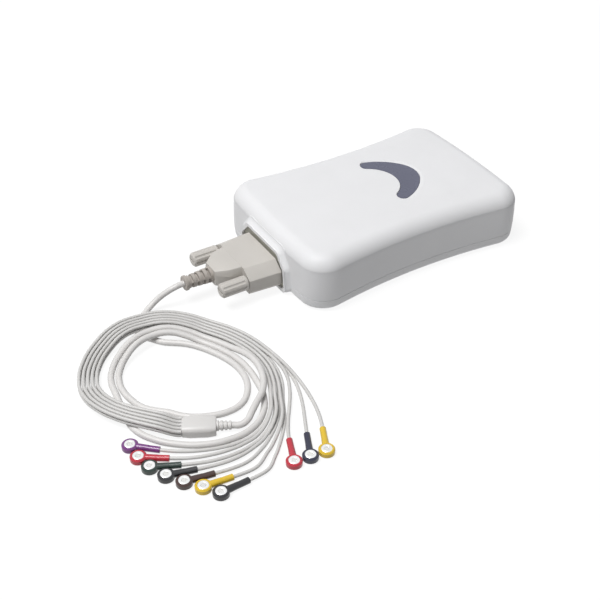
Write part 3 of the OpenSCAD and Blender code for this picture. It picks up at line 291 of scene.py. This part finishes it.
def finish(name, colour, rough=0.45, grain=0.0, grain_size=0.4, drift=0.03, rough_drift=0.08,
           metal=0.0, coat=0.0, coat_rough=0.1, sheen=0.0, through=0.0, specular=0.5):
    """A procedural finish; grain is the bump's height in mm and grain_size its width."""
    material = bpy.data.materials.new(name)
    material.use_nodes = True
    nodes, links = material.node_tree.nodes, material.node_tree.links
    shader = nodes["Principled BSDF"]
    shader.inputs["Metallic"].default_value = metal
    shader.inputs["Specular IOR Level"].default_value = specular
    shader.inputs["Coat Weight"].default_value = coat
    shader.inputs["Coat Roughness"].default_value = coat_rough
    shader.inputs["Sheen Weight"].default_value = sheen
    shader.inputs["Subsurface Weight"].default_value = through
    shader.inputs["Subsurface Radius"].default_value = GLOW_RADIUS
    shader.inputs["Subsurface Scale"].default_value = GLOW_DEPTH * MM
    place = nodes.new("ShaderNodeTexCoord")

    def noise(size_mm, detail):
        made = nodes.new("ShaderNodeTexNoise")
        made.inputs["Scale"].default_value = 1.0 / (size_mm * MM)
        made.inputs["Detail"].default_value = detail
        links.new(place.outputs["Object"], made.inputs["Vector"])
        return made

    slow = noise(DRIFT_SIZE, DRIFT_DETAIL)
    shade = nodes.new("ShaderNodeValToRGB")
    darker = [c * (1.0 - drift) for c in colour]
    lighter = [min(1.0, c * (1.0 + drift)) for c in colour]
    shade.color_ramp.elements[0].position = DRIFT_DARK
    shade.color_ramp.elements[0].color = (*darker, 1.0)
    shade.color_ramp.elements[1].position = DRIFT_LIGHT
    shade.color_ramp.elements[1].color = (*lighter, 1.0)
    links.new(slow.outputs["Fac"], shade.inputs["Fac"])
    links.new(shade.outputs["Color"], shader.inputs["Base Color"])
    polish = nodes.new("ShaderNodeMapRange")
    polish.inputs["To Min"].default_value = max(0.02, rough - rough_drift)
    polish.inputs["To Max"].default_value = min(1.0, rough + rough_drift)
    links.new(noise(POLISH_SIZE, POLISH_DETAIL).outputs["Fac"], polish.inputs["Value"])
    links.new(polish.outputs["Result"], shader.inputs["Roughness"])
    if grain > 0.0:
        bump = nodes.new("ShaderNodeBump")
        bump.inputs["Strength"].default_value = 1.0
        bump.inputs["Distance"].default_value = grain * MM
        links.new(noise(grain_size, GRAIN_DETAIL).outputs["Fac"], bump.inputs["Height"])
        links.new(bump.outputs["Normal"], shader.inputs["Normal"])
    return material


# %% The object's finishes
FINISHES = {
    "white_housing": dict(colour=(0.79, 0.79, 0.8), rough=0.5, grain=0.006, grain_size=0.5,
                          drift=0.012, through=0.06, specular=0.3),
    "grey_lens": dict(colour=(0.11, 0.115, 0.165), rough=0.28, drift=0.06, coat=0.15,
                      specular=0.25),
    "clear_guide": dict(colour=(0.8, 0.83, 0.86), rough=0.15, coat=0.2),
    "led_resin": dict(colour=(0.85, 0.82, 0.6), rough=0.2, coat=0.3),
    "circuit_board": dict(colour=(0.02, 0.13, 0.06), rough=0.35, coat=0.3, drift=0.1),
    "black_resin": dict(colour=(0.02, 0.02, 0.022), rough=0.55, grain=0.01, grain_size=0.2),
    "tinned_steel": dict(colour=(0.7, 0.7, 0.71), rough=0.32, metal=1.0, drift=0.05),
    "nickel_shell": dict(colour=(0.66, 0.64, 0.6), rough=0.28, metal=1.0, drift=0.05),
    "nickel_screws": dict(colour=(0.62, 0.6, 0.56), rough=0.3, metal=1.0, drift=0.06),
    "zinc_screws": dict(colour=(0.6, 0.61, 0.62), rough=0.35, metal=1.0, drift=0.06),
    "spring_steel": dict(colour=(0.52, 0.52, 0.54), rough=0.3, metal=1.0, drift=0.05),
    "gold_contacts": dict(colour=(0.86, 0.62, 0.26), rough=0.22, metal=1.0, drift=0.04),
    # The springs' brass colour is darkened as painted shade, for the shadow they sit in.
    "spring_brass": dict(colour=(0.3, 0.22, 0.11), rough=0.4, metal=1.0, drift=0.05),
    "black_insulator": dict(colour=(0.025, 0.025, 0.028), rough=0.5, grain=0.008, grain_size=0.3),
    "white_insulator": dict(colour=(0.78, 0.78, 0.75), rough=0.42, grain=0.006, grain_size=0.3),
    # The gasket is a real rubber liner, but its grey-olive colour is painted shade: the tone of the
    # shaded recess round the plug.
    "gasket_rubber": dict(colour=(0.5, 0.49, 0.42), rough=0.6, grain=0.01, grain_size=0.3),
    "black_rubber": dict(colour=(0.02, 0.02, 0.02), rough=0.75, grain=0.02, grain_size=0.4),
    "beige_hood": dict(colour=(0.555, 0.53, 0.495), rough=0.5, grain=0.012, grain_size=0.35,
                       drift=0.03, through=0.03),
    "beige_boot": dict(colour=(0.42, 0.385, 0.35), rough=0.55, grain=0.01, grain_size=0.3,
                       drift=0.03, through=0.05),
    "cable_jacket": dict(colour=(0.7, 0.685, 0.67), rough=0.42, grain=0.008, grain_size=0.5,
                         drift=0.02, through=0.08, sheen=0.05),
    "lead_jacket": dict(colour=(0.62, 0.61, 0.595), rough=0.4, grain=0.006, grain_size=0.4,
                        drift=0.02, through=0.08, sheen=0.05),
    "nickel_snap": dict(colour=(0.86, 0.86, 0.84), rough=0.3, metal=1.0, drift=0.06),
    "purple_head": dict(colour=(0.17, 0.035, 0.2), rough=0.3, coat=0.3, drift=0.05),
    "red_head": dict(colour=(0.5, 0.02, 0.04), rough=0.3, coat=0.3, drift=0.05),
    "green_head": dict(colour=(0.012, 0.03, 0.022), rough=0.3, coat=0.3, drift=0.08),
    "black_head": dict(colour=(0.012, 0.012, 0.014), rough=0.3, coat=0.3, drift=0.08),
    "brown_head": dict(colour=(0.045, 0.018, 0.013), rough=0.3, coat=0.3, drift=0.08),
    "yellow_head": dict(colour=(0.74, 0.5, 0.025), rough=0.32, coat=0.25, drift=0.04),
    "navy_head": dict(colour=(0.012, 0.014, 0.04), rough=0.3, coat=0.3, drift=0.08)}
made_finishes = {name: finish(name, **values) for name, values in FINISHES.items()}
slot_of = {row["node"]: row["material_slot"] for row in frame["record"]["subparts"]}
body_of = {node: body for body, nodes in frame["record"]["behaviour"]["bodies"].items()
           for node in nodes}
print("finishes:", len(made_finishes))


# %% [markdown]
# ## Laying the cables
#
# A curve with a round bevel is the natural tool for a cable: it keeps its thickness in
# every bend and its points can still be moved. Each curve takes the place of the plain
# tube that stood in for it.

# %% Cable helper
ROUND_STEPS, POINT_STEPS = 6, 4


def cable(name, line, diameter_mm, replaced):
    """A smooth round cable along a line of points, in place of the named plain tubes."""
    curve = bpy.data.curves.new(name, "CURVE")
    curve.dimensions = "3D"
    curve.bevel_depth = diameter_mm / 2 * MM
    curve.bevel_resolution = ROUND_STEPS
    curve.resolution_u = POINT_STEPS
    curve.use_fill_caps = True
    spline = curve.splines.new("BEZIER")
    spline.bezier_points.add(len(line) - 1)
    for point, place in zip(spline.bezier_points, line):
        point.co = place
        point.handle_left_type = point.handle_right_type = "AUTO"
    made = bpy.data.objects.new(name, curve)
    scene.collection.objects.link(made)
    slot = slot_of[replaced[0]]
    curve.materials.append(made_finishes[slot])
    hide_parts(*replaced)
    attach(made, "cable")
    return made


# %% Trunk and leads
trunk = cable("trunk_cable", trunk_line, TRUNK_D, ["trunk_lead_in", "trunk_coil"])
lead_wires = {name: cable("lead_wire_" + name, line, LEAD_D, ["lead_" + name])
              for name, line in lead_lines.items()}
print("laid:", trunk.name, "and", len(lead_wires), "lead wires")


# %% [markdown]
# ## Dressing the exact pieces
#
# The frame's meshes are loose triangles, so a curved wall would be shaded in flat facets.
# A copy of each piece has its triangles merged. Edges that turn by more than a set angle
# stay sharp, and the rest are shaded as one smooth surface. The copy then takes the
# piece's place. The hood, the strain reliefs, the thumbscrews and the yoke also get a
# narrow bevel, which catches the light as the edges of a real moulding do. The covers and
# the lens are left out here, because they are made afresh below.

# %% Copy helper
SHARP, SAME_POINT, SAME_EDGE, FLAT_TURN = 32.0, 0.002, 0.001, 0.5


def dressed(node, sharp=SHARP, bevel_mm=0.0):
    """A copy of a CAD node, merged and shaded smooth except at its sharp edges."""
    mesh = bpy.data.meshes.new(node + "_finished")
    shape = bmesh.new()
    shape.from_mesh(frame["nodes"][node].data)
    bmesh.ops.remove_doubles(shape, verts=shape.verts, dist=SAME_POINT * MM)
    bmesh.ops.dissolve_degenerate(shape, edges=shape.edges, dist=SAME_EDGE * MM)
    if bevel_mm > 0.0:
        bmesh.ops.dissolve_limit(
            shape, angle_limit=math.radians(FLAT_TURN), verts=shape.verts, edges=shape.edges,
            delimit={"NORMAL"})
    for face in shape.faces:
        face.smooth = True
    for edge in shape.edges:
        edge.smooth = edge.is_manifold and edge.calc_face_angle(0.0) < math.radians(sharp)
    shape.to_mesh(mesh)
    shape.free()
    piece = bpy.data.objects.new(node + "_finished", mesh)
    scene.collection.objects.link(piece)
    if bevel_mm > 0.0:
        rounding = piece.modifiers.new("edge rounding", "BEVEL")
        rounding.width = bevel_mm * MM
        rounding.segments = 2
        rounding.limit_method = "ANGLE"
        rounding.angle_limit = math.radians(sharp)
        rounding.harden_normals = True
    mesh.materials.clear()
    mesh.materials.append(made_finishes[slot_of[node]])
    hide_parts(node)
    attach(piece, body_of[node])
    return piece


# %% Dress every rigid piece
LAID_AS_CABLE = {"trunk_lead_in", "trunk_coil"} | {"lead_" + lead[0] for lead in LEADS}
BEVELS = {"plug_hood": 0.45, "cable_boot": 0.25, "thumbscrew_left": 0.25,
          "thumbscrew_right": 0.25, "yoke": 0.4, "yoke_boot": 0.2}
MADE_BELOW = {"top_cover", "bottom_cover", "indicator_lens"}
finished = {}
for node in frame["nodes"]:
    if node not in LAID_AS_CABLE | MADE_BELOW:
        finished[node] = dressed(node, bevel_mm=BEVELS.get(node, 0.0))
print("dressed:", len(finished), "pieces")


# %% [markdown]
# ## The two covers
#
# Seen from above, the box is a chain of arcs that flow into each other: a long side that
# curves in a little, a tight corner, and an end that curves out. Drawing a quarter of that
# outline and mirroring it twice keeps the box symmetrical. Outlines are drawn at different
# heights, each moved in by its own amount, and the first is extruded through the places of
# the others. Blender can also bridge such rings, but it may pair their points with a twist.
# The walls swell a little at a third of their height, like those of a barrel, so the light
# fades softly over them.

# %% Outline helpers
MIRROR_MERGE = 0.05


def arc_chain(shape, start, way, rows, z, left):
    """Draws tangent arcs (radius, turn in degrees, steps), all moved to their left."""
    way = math.radians(way)
    aside = Vector((-math.sin(way), math.cos(way), 0.0))
    last = bmesh.ops.create_vert(shape, co=Vector((*start, z)) + aside * left)["vert"]
    for radius, turn, steps in rows:
        side = math.copysign(1.0, turn)
        aside = Vector((-math.sin(way), math.cos(way), 0.0))
        last = bmesh.ops.spin(
            shape, geom=last, cent=last[0].co + aside * side * (radius - side * left),
            axis=(0, 0, 1), angle=math.radians(turn), steps=steps)["geom_last"]
        way += math.radians(turn)


def ring(chain, z, left=0.0, scale=1.0, shift=(0.0, 0.0)):
    """Draws a chain and mirrors it into a closed ring, as a shape of its own."""
    start, way, rows, mirrors = chain
    shape = bmesh.new()
    arc_chain(shape, start, way, rows, z, left)
    for axis in mirrors:
        bmesh.ops.mirror(
            shape, geom=shape.verts[:] + shape.edges[:], axis=axis, merge_dist=MIRROR_MERGE)
    bmesh.ops.scale(shape, vec=(scale, scale, 1.0), verts=shape.verts)
    bmesh.ops.translate(shape, vec=(*shift, 0.0), verts=shape.verts)
    return shape


def skin(rings):
    """Extrudes the first ring through the places of the others and caps both ends."""
    shape = rings[0]
    first = edges = shape.edges[:]
    row = shape.verts[:]
    for target in rings[1:]:
        made = bmesh.ops.extrude_edge_only(shape, edges=edges)["geom"]
        copies = {v.co[:]: v for v in made if isinstance(v, bmesh.types.BMVert)}
        row = [copies[v.co[:]] for v in row]
        new = set(row)
        edges = [e for e in made if isinstance(e, bmesh.types.BMEdge) and set(e.verts) <= new]
        for v, place in zip(row, target.verts):
            v.co = place.co
        target.free()
    caps = [bmesh.ops.edgeloop_fill(shape, edges=ends)["faces"][0] for ends in (first, edges)]
    return shape, caps


# %% Piece helpers
POST_SIDES = 40
TO_FRAME = Matrix.Translation((0.0, HOUSING_Y * MM, 0.0)) @ Matrix.Scale(MM, 4)


def solid(name, shape):
    """An object from a shape in the housing's millimetres, put in its place in the frame."""
    bmesh.ops.recalc_face_normals(shape, faces=shape.faces)
    bmesh.ops.transform(shape, matrix=TO_FRAME, verts=shape.verts)
    mesh = bpy.data.meshes.new(name)
    shape.to_mesh(mesh)
    shape.free()
    made = bpy.data.objects.new(name, mesh)
    scene.collection.objects.link(made)
    return made


def worked(piece, tool, how="DIFFERENCE"):
    """Cuts a tool out of a piece, or joins it on with UNION, and removes the tool."""
    step = piece.modifiers.new("work", "BOOLEAN")
    step.operation, step.solver, step.object = how, "EXACT", tool
    view = bpy.context.evaluated_depsgraph_get()
    done = bpy.data.meshes.new_from_object(piece.evaluated_get(view))
    piece.modifiers.clear()
    piece.data = done
    bpy.data.objects.remove(tool)
    return piece


def posts(name, x, y, z0, z1, diameter):
    """Four upright cylinders, one near each corner."""
    shape = bmesh.new()
    for sx in (-1, 1):
        for sy in (-1, 1):
            bmesh.ops.create_cone(
                shape, cap_ends=True, segments=POST_SIDES, radius1=diameter / 2,
                radius2=diameter / 2, depth=z1 - z0,
                matrix=Matrix.Translation((sx * x, sy * y, (z0 + z1) / 2)))
    return solid(name, shape)


def block(name, low, high):
    """A box between two corners."""
    shape = bmesh.new()
    middle = (Vector(low) + Vector(high)) / 2
    size = Matrix.Diagonal(Vector(high) - Vector(low)).to_4x4()
    bmesh.ops.create_cube(shape, size=1.0, matrix=Matrix.Translation(middle) @ size)
    return solid(name, shape)


def shaded(piece, sharp=SHARP):
    """Merges a worked piece's points and shades it smooth between its sharp edges."""
    shape = bmesh.new()
    shape.from_mesh(piece.data)
    bmesh.ops.remove_doubles(shape, verts=shape.verts, dist=SAME_POINT * MM)
    bmesh.ops.dissolve_degenerate(shape, edges=shape.edges, dist=SAME_POINT * MM)
    bmesh.ops.recalc_face_normals(shape, faces=shape.faces)
    for face in shape.faces:
        face.smooth = True
    for edge in shape.edges:
        edge.smooth = edge.is_manifold and edge.calc_face_angle(0.0) < math.radians(sharp)
    open_edges = sum(not e.is_manifold for e in shape.edges)
    print(piece.name, len(shape.faces), "faces, open edges:", open_edges)
    shape.to_mesh(piece.data)
    shape.free()
    even = piece.modifiers.new("even shading", "WEIGHTED_NORMAL")
    even.keep_sharp = True


def handed_over(piece, node):
    """Shades a piece that was made here and puts it in a CAD node's place."""
    shaded(piece)
    piece.data.materials.clear()
    piece.data.materials.append(made_finishes[slot_of[node]])
    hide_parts(node)
    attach(piece, body_of[node])
    finished[node] = piece


# %% The housing's measures
HALF_L = 74.0
PLAN = ((45.7, 0.0), 90.0, [(372.74, -8.539, 14), (15.2, 94.589, 18), (520.4, 3.95, 6)], "XY")
PLAN_IN = 0.13
WIDEST_Z, SWELL_UP, SWELL_DOWN = 12.0, 0.0022, 0.006
WALL, SEAM_Z, SEAM_LINE = 2.2, 7.5, 0.22
TONGUE_H, TONGUE_IN, GAP = 1.4, 1.2, 0.1
EDGE_R, EDGE_START_Z, EDGE_STOP, EDGE_STEPS = 9.2, 25.2, 85.0, 12
LID_Z, CEILING_Z, FLAT = 34.2, 32.0, 0.7
BASE_R, BASE_START_Z, BASE_Z, FLOOR_Z = 3.6, 4.0, 0.8, 3.0
LID_WALL_ZS = (9, 11, 13, 15, 17, 19, 21, 23, 25, 26.6)
LID_INSIDE_Z, CROWN_STEPS, CAP_IN = 18.0, 8, 1.5


def wall_in(z):
    """How far the outside of the wall lies inside its widest outline at a height."""
    swell = SWELL_UP if z > WIDEST_Z else SWELL_DOWN
    return PLAN_IN + swell * (z - WIDEST_Z) ** 2


def edge_arc(start_z, swell, radius, up, thinner=0.0):
    """Inset and height along the rounding that follows the wall, up or down."""
    lean = math.atan(2 * swell * abs(start_z - WIDEST_Z))
    rows = []
    for i in range(EDGE_STEPS + 1):
        a = lean + (math.radians(EDGE_STOP) - lean) * i / EDGE_STEPS
        inset = wall_in(start_z) + radius * math.cos(lean) - (radius - thinner) * math.cos(a)
        rows.append((inset, start_z + up * ((radius - thinner) * math.sin(a)
                                            - radius * math.sin(lean))))
    return rows


# %% [markdown]
# ## The lid
#
# The real lid is a thin shell, open below, with a tongue's groove along its rim. Its rings
# run up the inside, over the rim and up the outside, so one skin makes the whole wall. The
# lens, the screw bosses and the openings are cut or joined afterwards with booleans, which
# keep their edges exact where extruding them from the shell would not.

# %% The lid's shell
def lid_shell():
    outer_edge = edge_arc(EDGE_START_Z, SWELL_UP, EDGE_R, 1)
    inner_edge = edge_arc(EDGE_START_Z, SWELL_UP, EDGE_R, 1, WALL)
    brim_in, brim_z = outer_edge[-1]
    groove_in = PLAN_IN + TONGUE_IN - GAP
    rows = [(inner_edge[-1][0], CEILING_Z, FLAT)]
    rows += [(inset, z, 1.0) for inset, z in inner_edge[::-2]]
    rows += [(wall_in(z) + WALL, z, 1.0) for z in (LID_INSIDE_Z, SEAM_Z + TONGUE_H + GAP)]
    rows += [(groove_in, SEAM_Z + TONGUE_H + GAP, 1.0), (groove_in, SEAM_Z, 1.0)]
    rows += [(wall_in(SEAM_Z) + SEAM_LINE, SEAM_Z, 1.0)]
    rows += [(wall_in(z), z, 1.0) for z in (SEAM_Z + SEAM_LINE, *LID_WALL_ZS)]
    rows += [(inset, z, 1.0) for inset, z in outer_edge]
    for i in range(1, CROWN_STEPS + 1):
        t = i / CROWN_STEPS
        rows.append((brim_in, brim_z + (LID_Z - brim_z) * t * (2 - t), 1 + (FLAT - 1) * t))
    shape, caps = skin([ring(PLAN, z, left=inset, scale=share) for inset, z, share in rows])
    bmesh.ops.inset_region(shape, faces=caps[1:], thickness=CAP_IN, use_even_offset=True)
    return solid("top_cover_made", shape)


lid = lid_shell()
print("lid shell:", len(lid.data.polygons), "faces")

# %% The lens and its opening
LENS_X = -2.61
LENS = ((0.0, 30.34), 0.0, [(15.74, -34.4, 10), (34.22, -38.28, 10), (3.61, -168.09, 14),
                            (17.92, 60.76, 12)], "X")
LENS_TOP = LID_Z - 0.3
LENS_FOOT = CEILING_Z - 0.01
# grown by, height, shifted across and along
OPENING_ROWS = [
    (GAP, CEILING_Z - 2, 0, 0), (GAP, LID_Z - 0.5, 0, 0), (0.9, LID_Z - 0.22, 0.45, 0.5),
    (1.7, LID_Z + 0.02, 0.9, 1.0), (1.7, LID_Z + 1.0, 0.9, 1.0)]
LENS_ROWS = [
    (1.4, CEILING_Z - 1.0, 0, 0), (1.4, LENS_FOOT, 0, 0), (0, LENS_FOOT, 0, 0),
    (0, LENS_TOP - 0.3, 0, 0), (-0.09, LENS_TOP - 0.09, 0, 0), (-0.3, LENS_TOP, 0, 0),
    (-0.8, LENS_TOP, 0, 0)]


def lens_solid(name, rows):
    """A solid whose outlines are the lens's, grown, at a height and shifted in the plane."""
    rings = [ring(LENS, z, left=grow, shift=(LENS_X + x, y)) for grow, z, x, y in rows]
    return solid(name, skin(rings)[0])


handed_over(lens_solid("indicator_lens_made", LENS_ROWS), "indicator_lens")

# %% The lid's bosses and cuts
SCREW_X, SCREW_Y, BOSS_D, BOSS_TOP = 39.5, 42.0, 6.8, 31.4
SCREW_D, SCREW_HEAD_Z, SCREW_HEAD_T, SCREW_HEAD_D = 2.9, 1.1, 1.6, 5.2
SCREW_TIP_Z, BOSS_FOOT = 18.7, 5.4
# how far a tool or a joined post reaches past the face that it meets
PAST = 1.0
COLLAR_T, COLLAR_OVERLAP, COLLAR_ROOM_YS = 1.8, 0.2, (-82, -67.8)
PILOT_TIGHT = 0.04
USB_LOW, USB_HIGH = (-6.4, 65.8, 5.8), (6.4, 80.0, 17.6)
# x, height and corner radius of the recess's outline in the collar
RECESS = [(23.6, 3.2, 1.5), (22.3, 16.1, 2.5), (15.8, 23.5, 2.5)]
# how each corner moves when the outline grows, and by how many degrees the outline turns there
RECESS_GROW_X, RECESS_GROW_Z, RECESS_TURNS = (1, 1, 0.7), (-1, 0.5, 1), (94.7, 35.6, 49.7)


def collar_ring(grow, y, low=0.0, steps=6):
    """The collar's outline grown by some millimetres, as a shape of its own."""
    shape = bmesh.new()
    points = [(x + grow * share_x, z + grow * share_z, r + grow)
              for (x, z, r), share_x, share_z in zip(RECESS, RECESS_GROW_X, RECESS_GROW_Z)]
    points[0] = (points[0][0], max(points[0][1], low), points[0][2])
    half = [Vector((x, y, z)) for x, z, r in points]
    row = half + [Vector((-p.x, p.y, p.z)) for p in reversed(half)]
    corners = [bmesh.ops.create_vert(shape, co=p)["vert"][0] for p in row]
    bmesh.ops.contextual_create(shape, geom=corners)
    for i, turn in enumerate(RECESS_TURNS):
        reach = points[i][2] * math.tan(math.radians(turn / 2))
        bmesh.ops.bevel(
            shape, geom=[corners[i], corners[-1 - i]], offset=reach, affect="VERTICES",
            segments=steps, profile=0.5, material=-1, clamp_overlap=True)
    bmesh.ops.delete(shape, geom=shape.faces[:], context="FACES_ONLY")
    return shape


def collar_tool():
    grow = COLLAR_T - COLLAR_OVERLAP
    return solid("collar room", skin([collar_ring(grow, y) for y in COLLAR_ROOM_YS])[0])


worked(lid, posts("bosses", SCREW_X, SCREW_Y, BOSS_FOOT + GAP, BOSS_TOP, BOSS_D), "UNION")
worked(lid, posts("pilot holes", SCREW_X, SCREW_Y, FLOOR_Z, SCREW_TIP_Z + PAST,
                  SCREW_D + PILOT_TIGHT))
worked(lid, lens_solid("opening", OPENING_ROWS))
worked(lid, collar_tool())
worked(lid, block("usb room", USB_LOW, USB_HIGH))
handed_over(lid, "top_cover")


# %% [markdown]
# ## The base
#
# The base is the lid's counterpart: a shallow tray with a tongue that stands in the lid's
# groove. Inside it carries the posts of the board, and its underside has seats for the
# case screws and the rubber feet. It is made by the same two helpers.

# %% The base
LOW_WALL_ZS, TONGUE_FOOT_Z = (5.4, 6.4), 6.0
# how far inside the wall, and how far above the floor, the hollow where wall meets floor lies
HOLLOW = ((0.2, TONGUE_FOOT_Z - FLOOR_Z), (1.2, 0.8), (2.4, 0.0))


def base_shell():
    outer = edge_arc(BASE_START_Z, SWELL_DOWN, BASE_R, -1)
    tongue_in = PLAN_IN + TONGUE_IN
    rows = [(inset, z) for inset, z in outer[::-1]]
    rows += [(wall_in(z), z) for z in (*LOW_WALL_ZS, SEAM_Z - SEAM_LINE)]
    rows += [(wall_in(SEAM_Z) + SEAM_LINE, SEAM_Z), (tongue_in, SEAM_Z)]
    rows += [(tongue_in, SEAM_Z + TONGUE_H), (PLAN_IN + WALL, SEAM_Z + TONGUE_H)]
    rows += [(PLAN_IN + WALL + inset, FLOOR_Z + z) for inset, z in HOLLOW]
    return solid("bottom_cover_made", skin([ring(PLAN, z, left=inset) for inset, z in rows])[0])


POST_X, POST_Y, POST_D, BOARD_Z = 30.0, 55.0, 6.0, 4.6
POST_HOLE_D, POST_HOLE_FOOT = 2.24, 1.2
FOOT_X, FOOT_Y, FOOT_D, FOOT_SEAT = 37.0, 56.0, 10.0, 0.9
base = base_shell()
worked(base, posts("boss feet", SCREW_X, SCREW_Y, FLOOR_Z - PAST, BOSS_FOOT, BOSS_D), "UNION")
worked(base, posts("board posts", POST_X, POST_Y, FLOOR_Z - PAST, BOARD_Z, POST_D), "UNION")
worked(base, posts("head seats", SCREW_X, SCREW_Y, BASE_Z - PAST, SCREW_HEAD_Z + SCREW_HEAD_T,
                   SCREW_HEAD_D + 4 * GAP))
worked(base, posts("screw holes", SCREW_X, SCREW_Y, BASE_Z, BOSS_FOOT + PAST,
                   SCREW_D + 4 * GAP))
worked(base, posts("board screw holes", POST_X, POST_Y, FLOOR_Z - POST_HOLE_FOOT, BOARD_Z + PAST,
                   POST_HOLE_D))
worked(base, posts("foot seats", FOOT_X, FOOT_Y, BASE_Z - PAST, BASE_Z + FOOT_SEAT,
                   FOOT_D + 2 * GAP))
worked(base, collar_tool())
worked(base, block("usb room", USB_LOW, USB_HIGH))
handed_over(base, "bottom_cover")


# %% [markdown]
# ## The collar round the socket
#
# The end wall flows into the collar in a soft hollow curve. A fillet tool would need one
# clean edge between the two, and they are separate pieces. So each outline of the curve is
# a little wider than the one before, its points are drawn back towards the wall, and the
# flare is joined onto the collar.

# %% The collar's flare
FLARE_W, FLARE_STEPS, FLARE_FRONT, FLARE_LOW = 3.2, 8, -75.3, 1.0
FLARE_INSIDE, FLARE_BACK, FLARE_SUNK, FLARE_BEND = 0.6, 0.8, 0.2, 2.4
END_R, STEEPEST = 520.4, 0.98


def wall_y(x, z):
    """Where the outside of the end wall stands at a place across and a height."""
    inset = wall_in(max(z, BASE_START_Z))
    if z < BASE_START_Z:
        drop = min((BASE_START_Z - z) / BASE_R, STEEPEST)
        inset += BASE_R * (1 - math.sqrt(1 - drop * drop))
    return -HALF_L + inset + x * x / (2 * END_R)


def flare_ring(grow, lift):
    """The collar's outline, each point as far from the wall as lift makes of its place."""
    edges = collar_ring(grow, 0.0, low=FLARE_LOW)
    for v in edges.verts:
        v.co.y = lift(wall_y(v.co.x, v.co.z))
    return edges


def flare():
    inner, outer = COLLAR_T - FLARE_INSIDE, COLLAR_T + FLARE_W
    rings = [flare_ring(inner, lambda wall: wall + FLARE_BACK),
             flare_ring(inner, lambda wall: FLARE_FRONT)]
    for i in range(FLARE_STEPS + 1):
        t = i / FLARE_STEPS
        near, sunk = (1 - t) ** FLARE_BEND, FLARE_SUNK * t ** 2
        rings.append(flare_ring(
            COLLAR_T + FLARE_W * t,
            lambda wall: wall + sunk + (FLARE_FRONT - wall - sunk) * near))
    rings += [flare_ring(grow, lambda wall: wall + FLARE_BACK) for grow in (outer, inner)]
    shape, caps = skin(rings)
    bmesh.ops.delete(shape, geom=caps, context="FACES_ONLY")
    bmesh.ops.remove_doubles(shape, verts=shape.verts, dist=0.001)
    return solid("flare", shape)


collar = worked(finished["connector_panel"], flare(), "UNION")
shaded(collar)


# %% [markdown]
# ## What hangs on each cord
#
# A cord is soft in real life, so whoever lays it out again needs to know its length, its
# thickness and what is fixed to its end. The lengths are measured along the routes above,
# which follow the cables from the plug to the snaps, and printed there. Here the cords are
# only counted.

print("cords:", 1 + len(lead_wires))


# %% [markdown]
# ## Table and light
#
# The picture was taken on a white table under a large soft lamp, which hangs above the box
# and a little towards the plug. The lid and the plug's end are bright, and the long side
# that faces the camera is in shade, with mostly the table's light on it. A table as white
# as the picture's would throw too much light up. So the table and the sky glow fully only
# where the camera or a mirror-like surface sees them, and more weakly for all else.

# %% Table
TABLE_GLOW, SEEN_GLOW, TABLE_GREY, TABLE_SIZE = 0.45, 0.88, 0.15, 12.0


def glow_when_seen(tree, socket, lighting, seen):
    """Gives a socket one strength as a light and another as seen directly or in a mirror."""
    path = tree.nodes.new("ShaderNodeLightPath")
    either = tree.nodes.new("ShaderNodeMath")
    either.operation = "MAXIMUM"
    blend = tree.nodes.new("ShaderNodeMath")
    blend.operation = "MULTIPLY_ADD"
    blend.inputs[1].default_value = seen - lighting
    blend.inputs[2].default_value = lighting
    tree.links.new(path.outputs["Is Camera Ray"], either.inputs[0])
    tree.links.new(path.outputs["Is Glossy Ray"], either.inputs[1])
    tree.links.new(either.outputs["Value"], blend.inputs[0])
    tree.links.new(blend.outputs["Value"], socket)


def table(size):
    mesh = bpy.data.meshes.new("table")
    shape = bmesh.new()
    bmesh.ops.create_grid(shape, x_segments=2, y_segments=2, size=size / 2)
    shape.to_mesh(mesh)
    shape.free()
    made = bpy.data.objects.new("table", mesh)
    scene.collection.objects.link(made)
    white = finish("table_white", colour=(TABLE_GREY,) * 3, rough=0.9, drift=0.0, specular=0.0)
    shader = white.node_tree.nodes["Principled BSDF"]
    shader.inputs["Emission Color"].default_value = (1.0, 1.0, 1.0, 1.0)
    glow_when_seen(white.node_tree, shader.inputs["Emission Strength"], TABLE_GLOW, SEEN_GLOW)
    mesh.materials.append(white)
    return made


print("table:", table(TABLE_SIZE).name, TABLE_SIZE, "m wide")


# %% Lights
KEY_PLACE, KEY_AIM, KEY_SIZE, KEY_POWER = (-0.08, -0.98, 2.4), (0.0, -0.05, 0.0), 1.5, 69.0
SKY_COLOUR, SKY_GLOW, SKY_SEEN = (0.96, 0.97, 1.0, 1.0), 0.12, 1.0


def soft_light(name, place, aim, size, power):
    data = bpy.data.lights.new(name, "AREA")
    data.shape = "DISK"
    data.size = size
    data.energy = power
    made = bpy.data.objects.new(name, data)
    made.location = place
    made.rotation_euler = (Vector(aim) - Vector(place)).to_track_quat("-Z", "Y").to_euler()
    scene.collection.objects.link(made)
    return made


key = soft_light("key", KEY_PLACE, KEY_AIM, KEY_SIZE, KEY_POWER)
scene.world = bpy.data.worlds.new("studio")
scene.world.use_nodes = True
sky = scene.world.node_tree.nodes["Background"]
sky.inputs["Color"].default_value = SKY_COLOUR
glow_when_seen(scene.world.node_tree, sky.inputs["Strength"], SKY_GLOW, SKY_SEEN)
scene.view_settings.view_transform = "Standard"
print("lamp:", key.name, KEY_POWER, "W; sky:", SKY_GLOW)
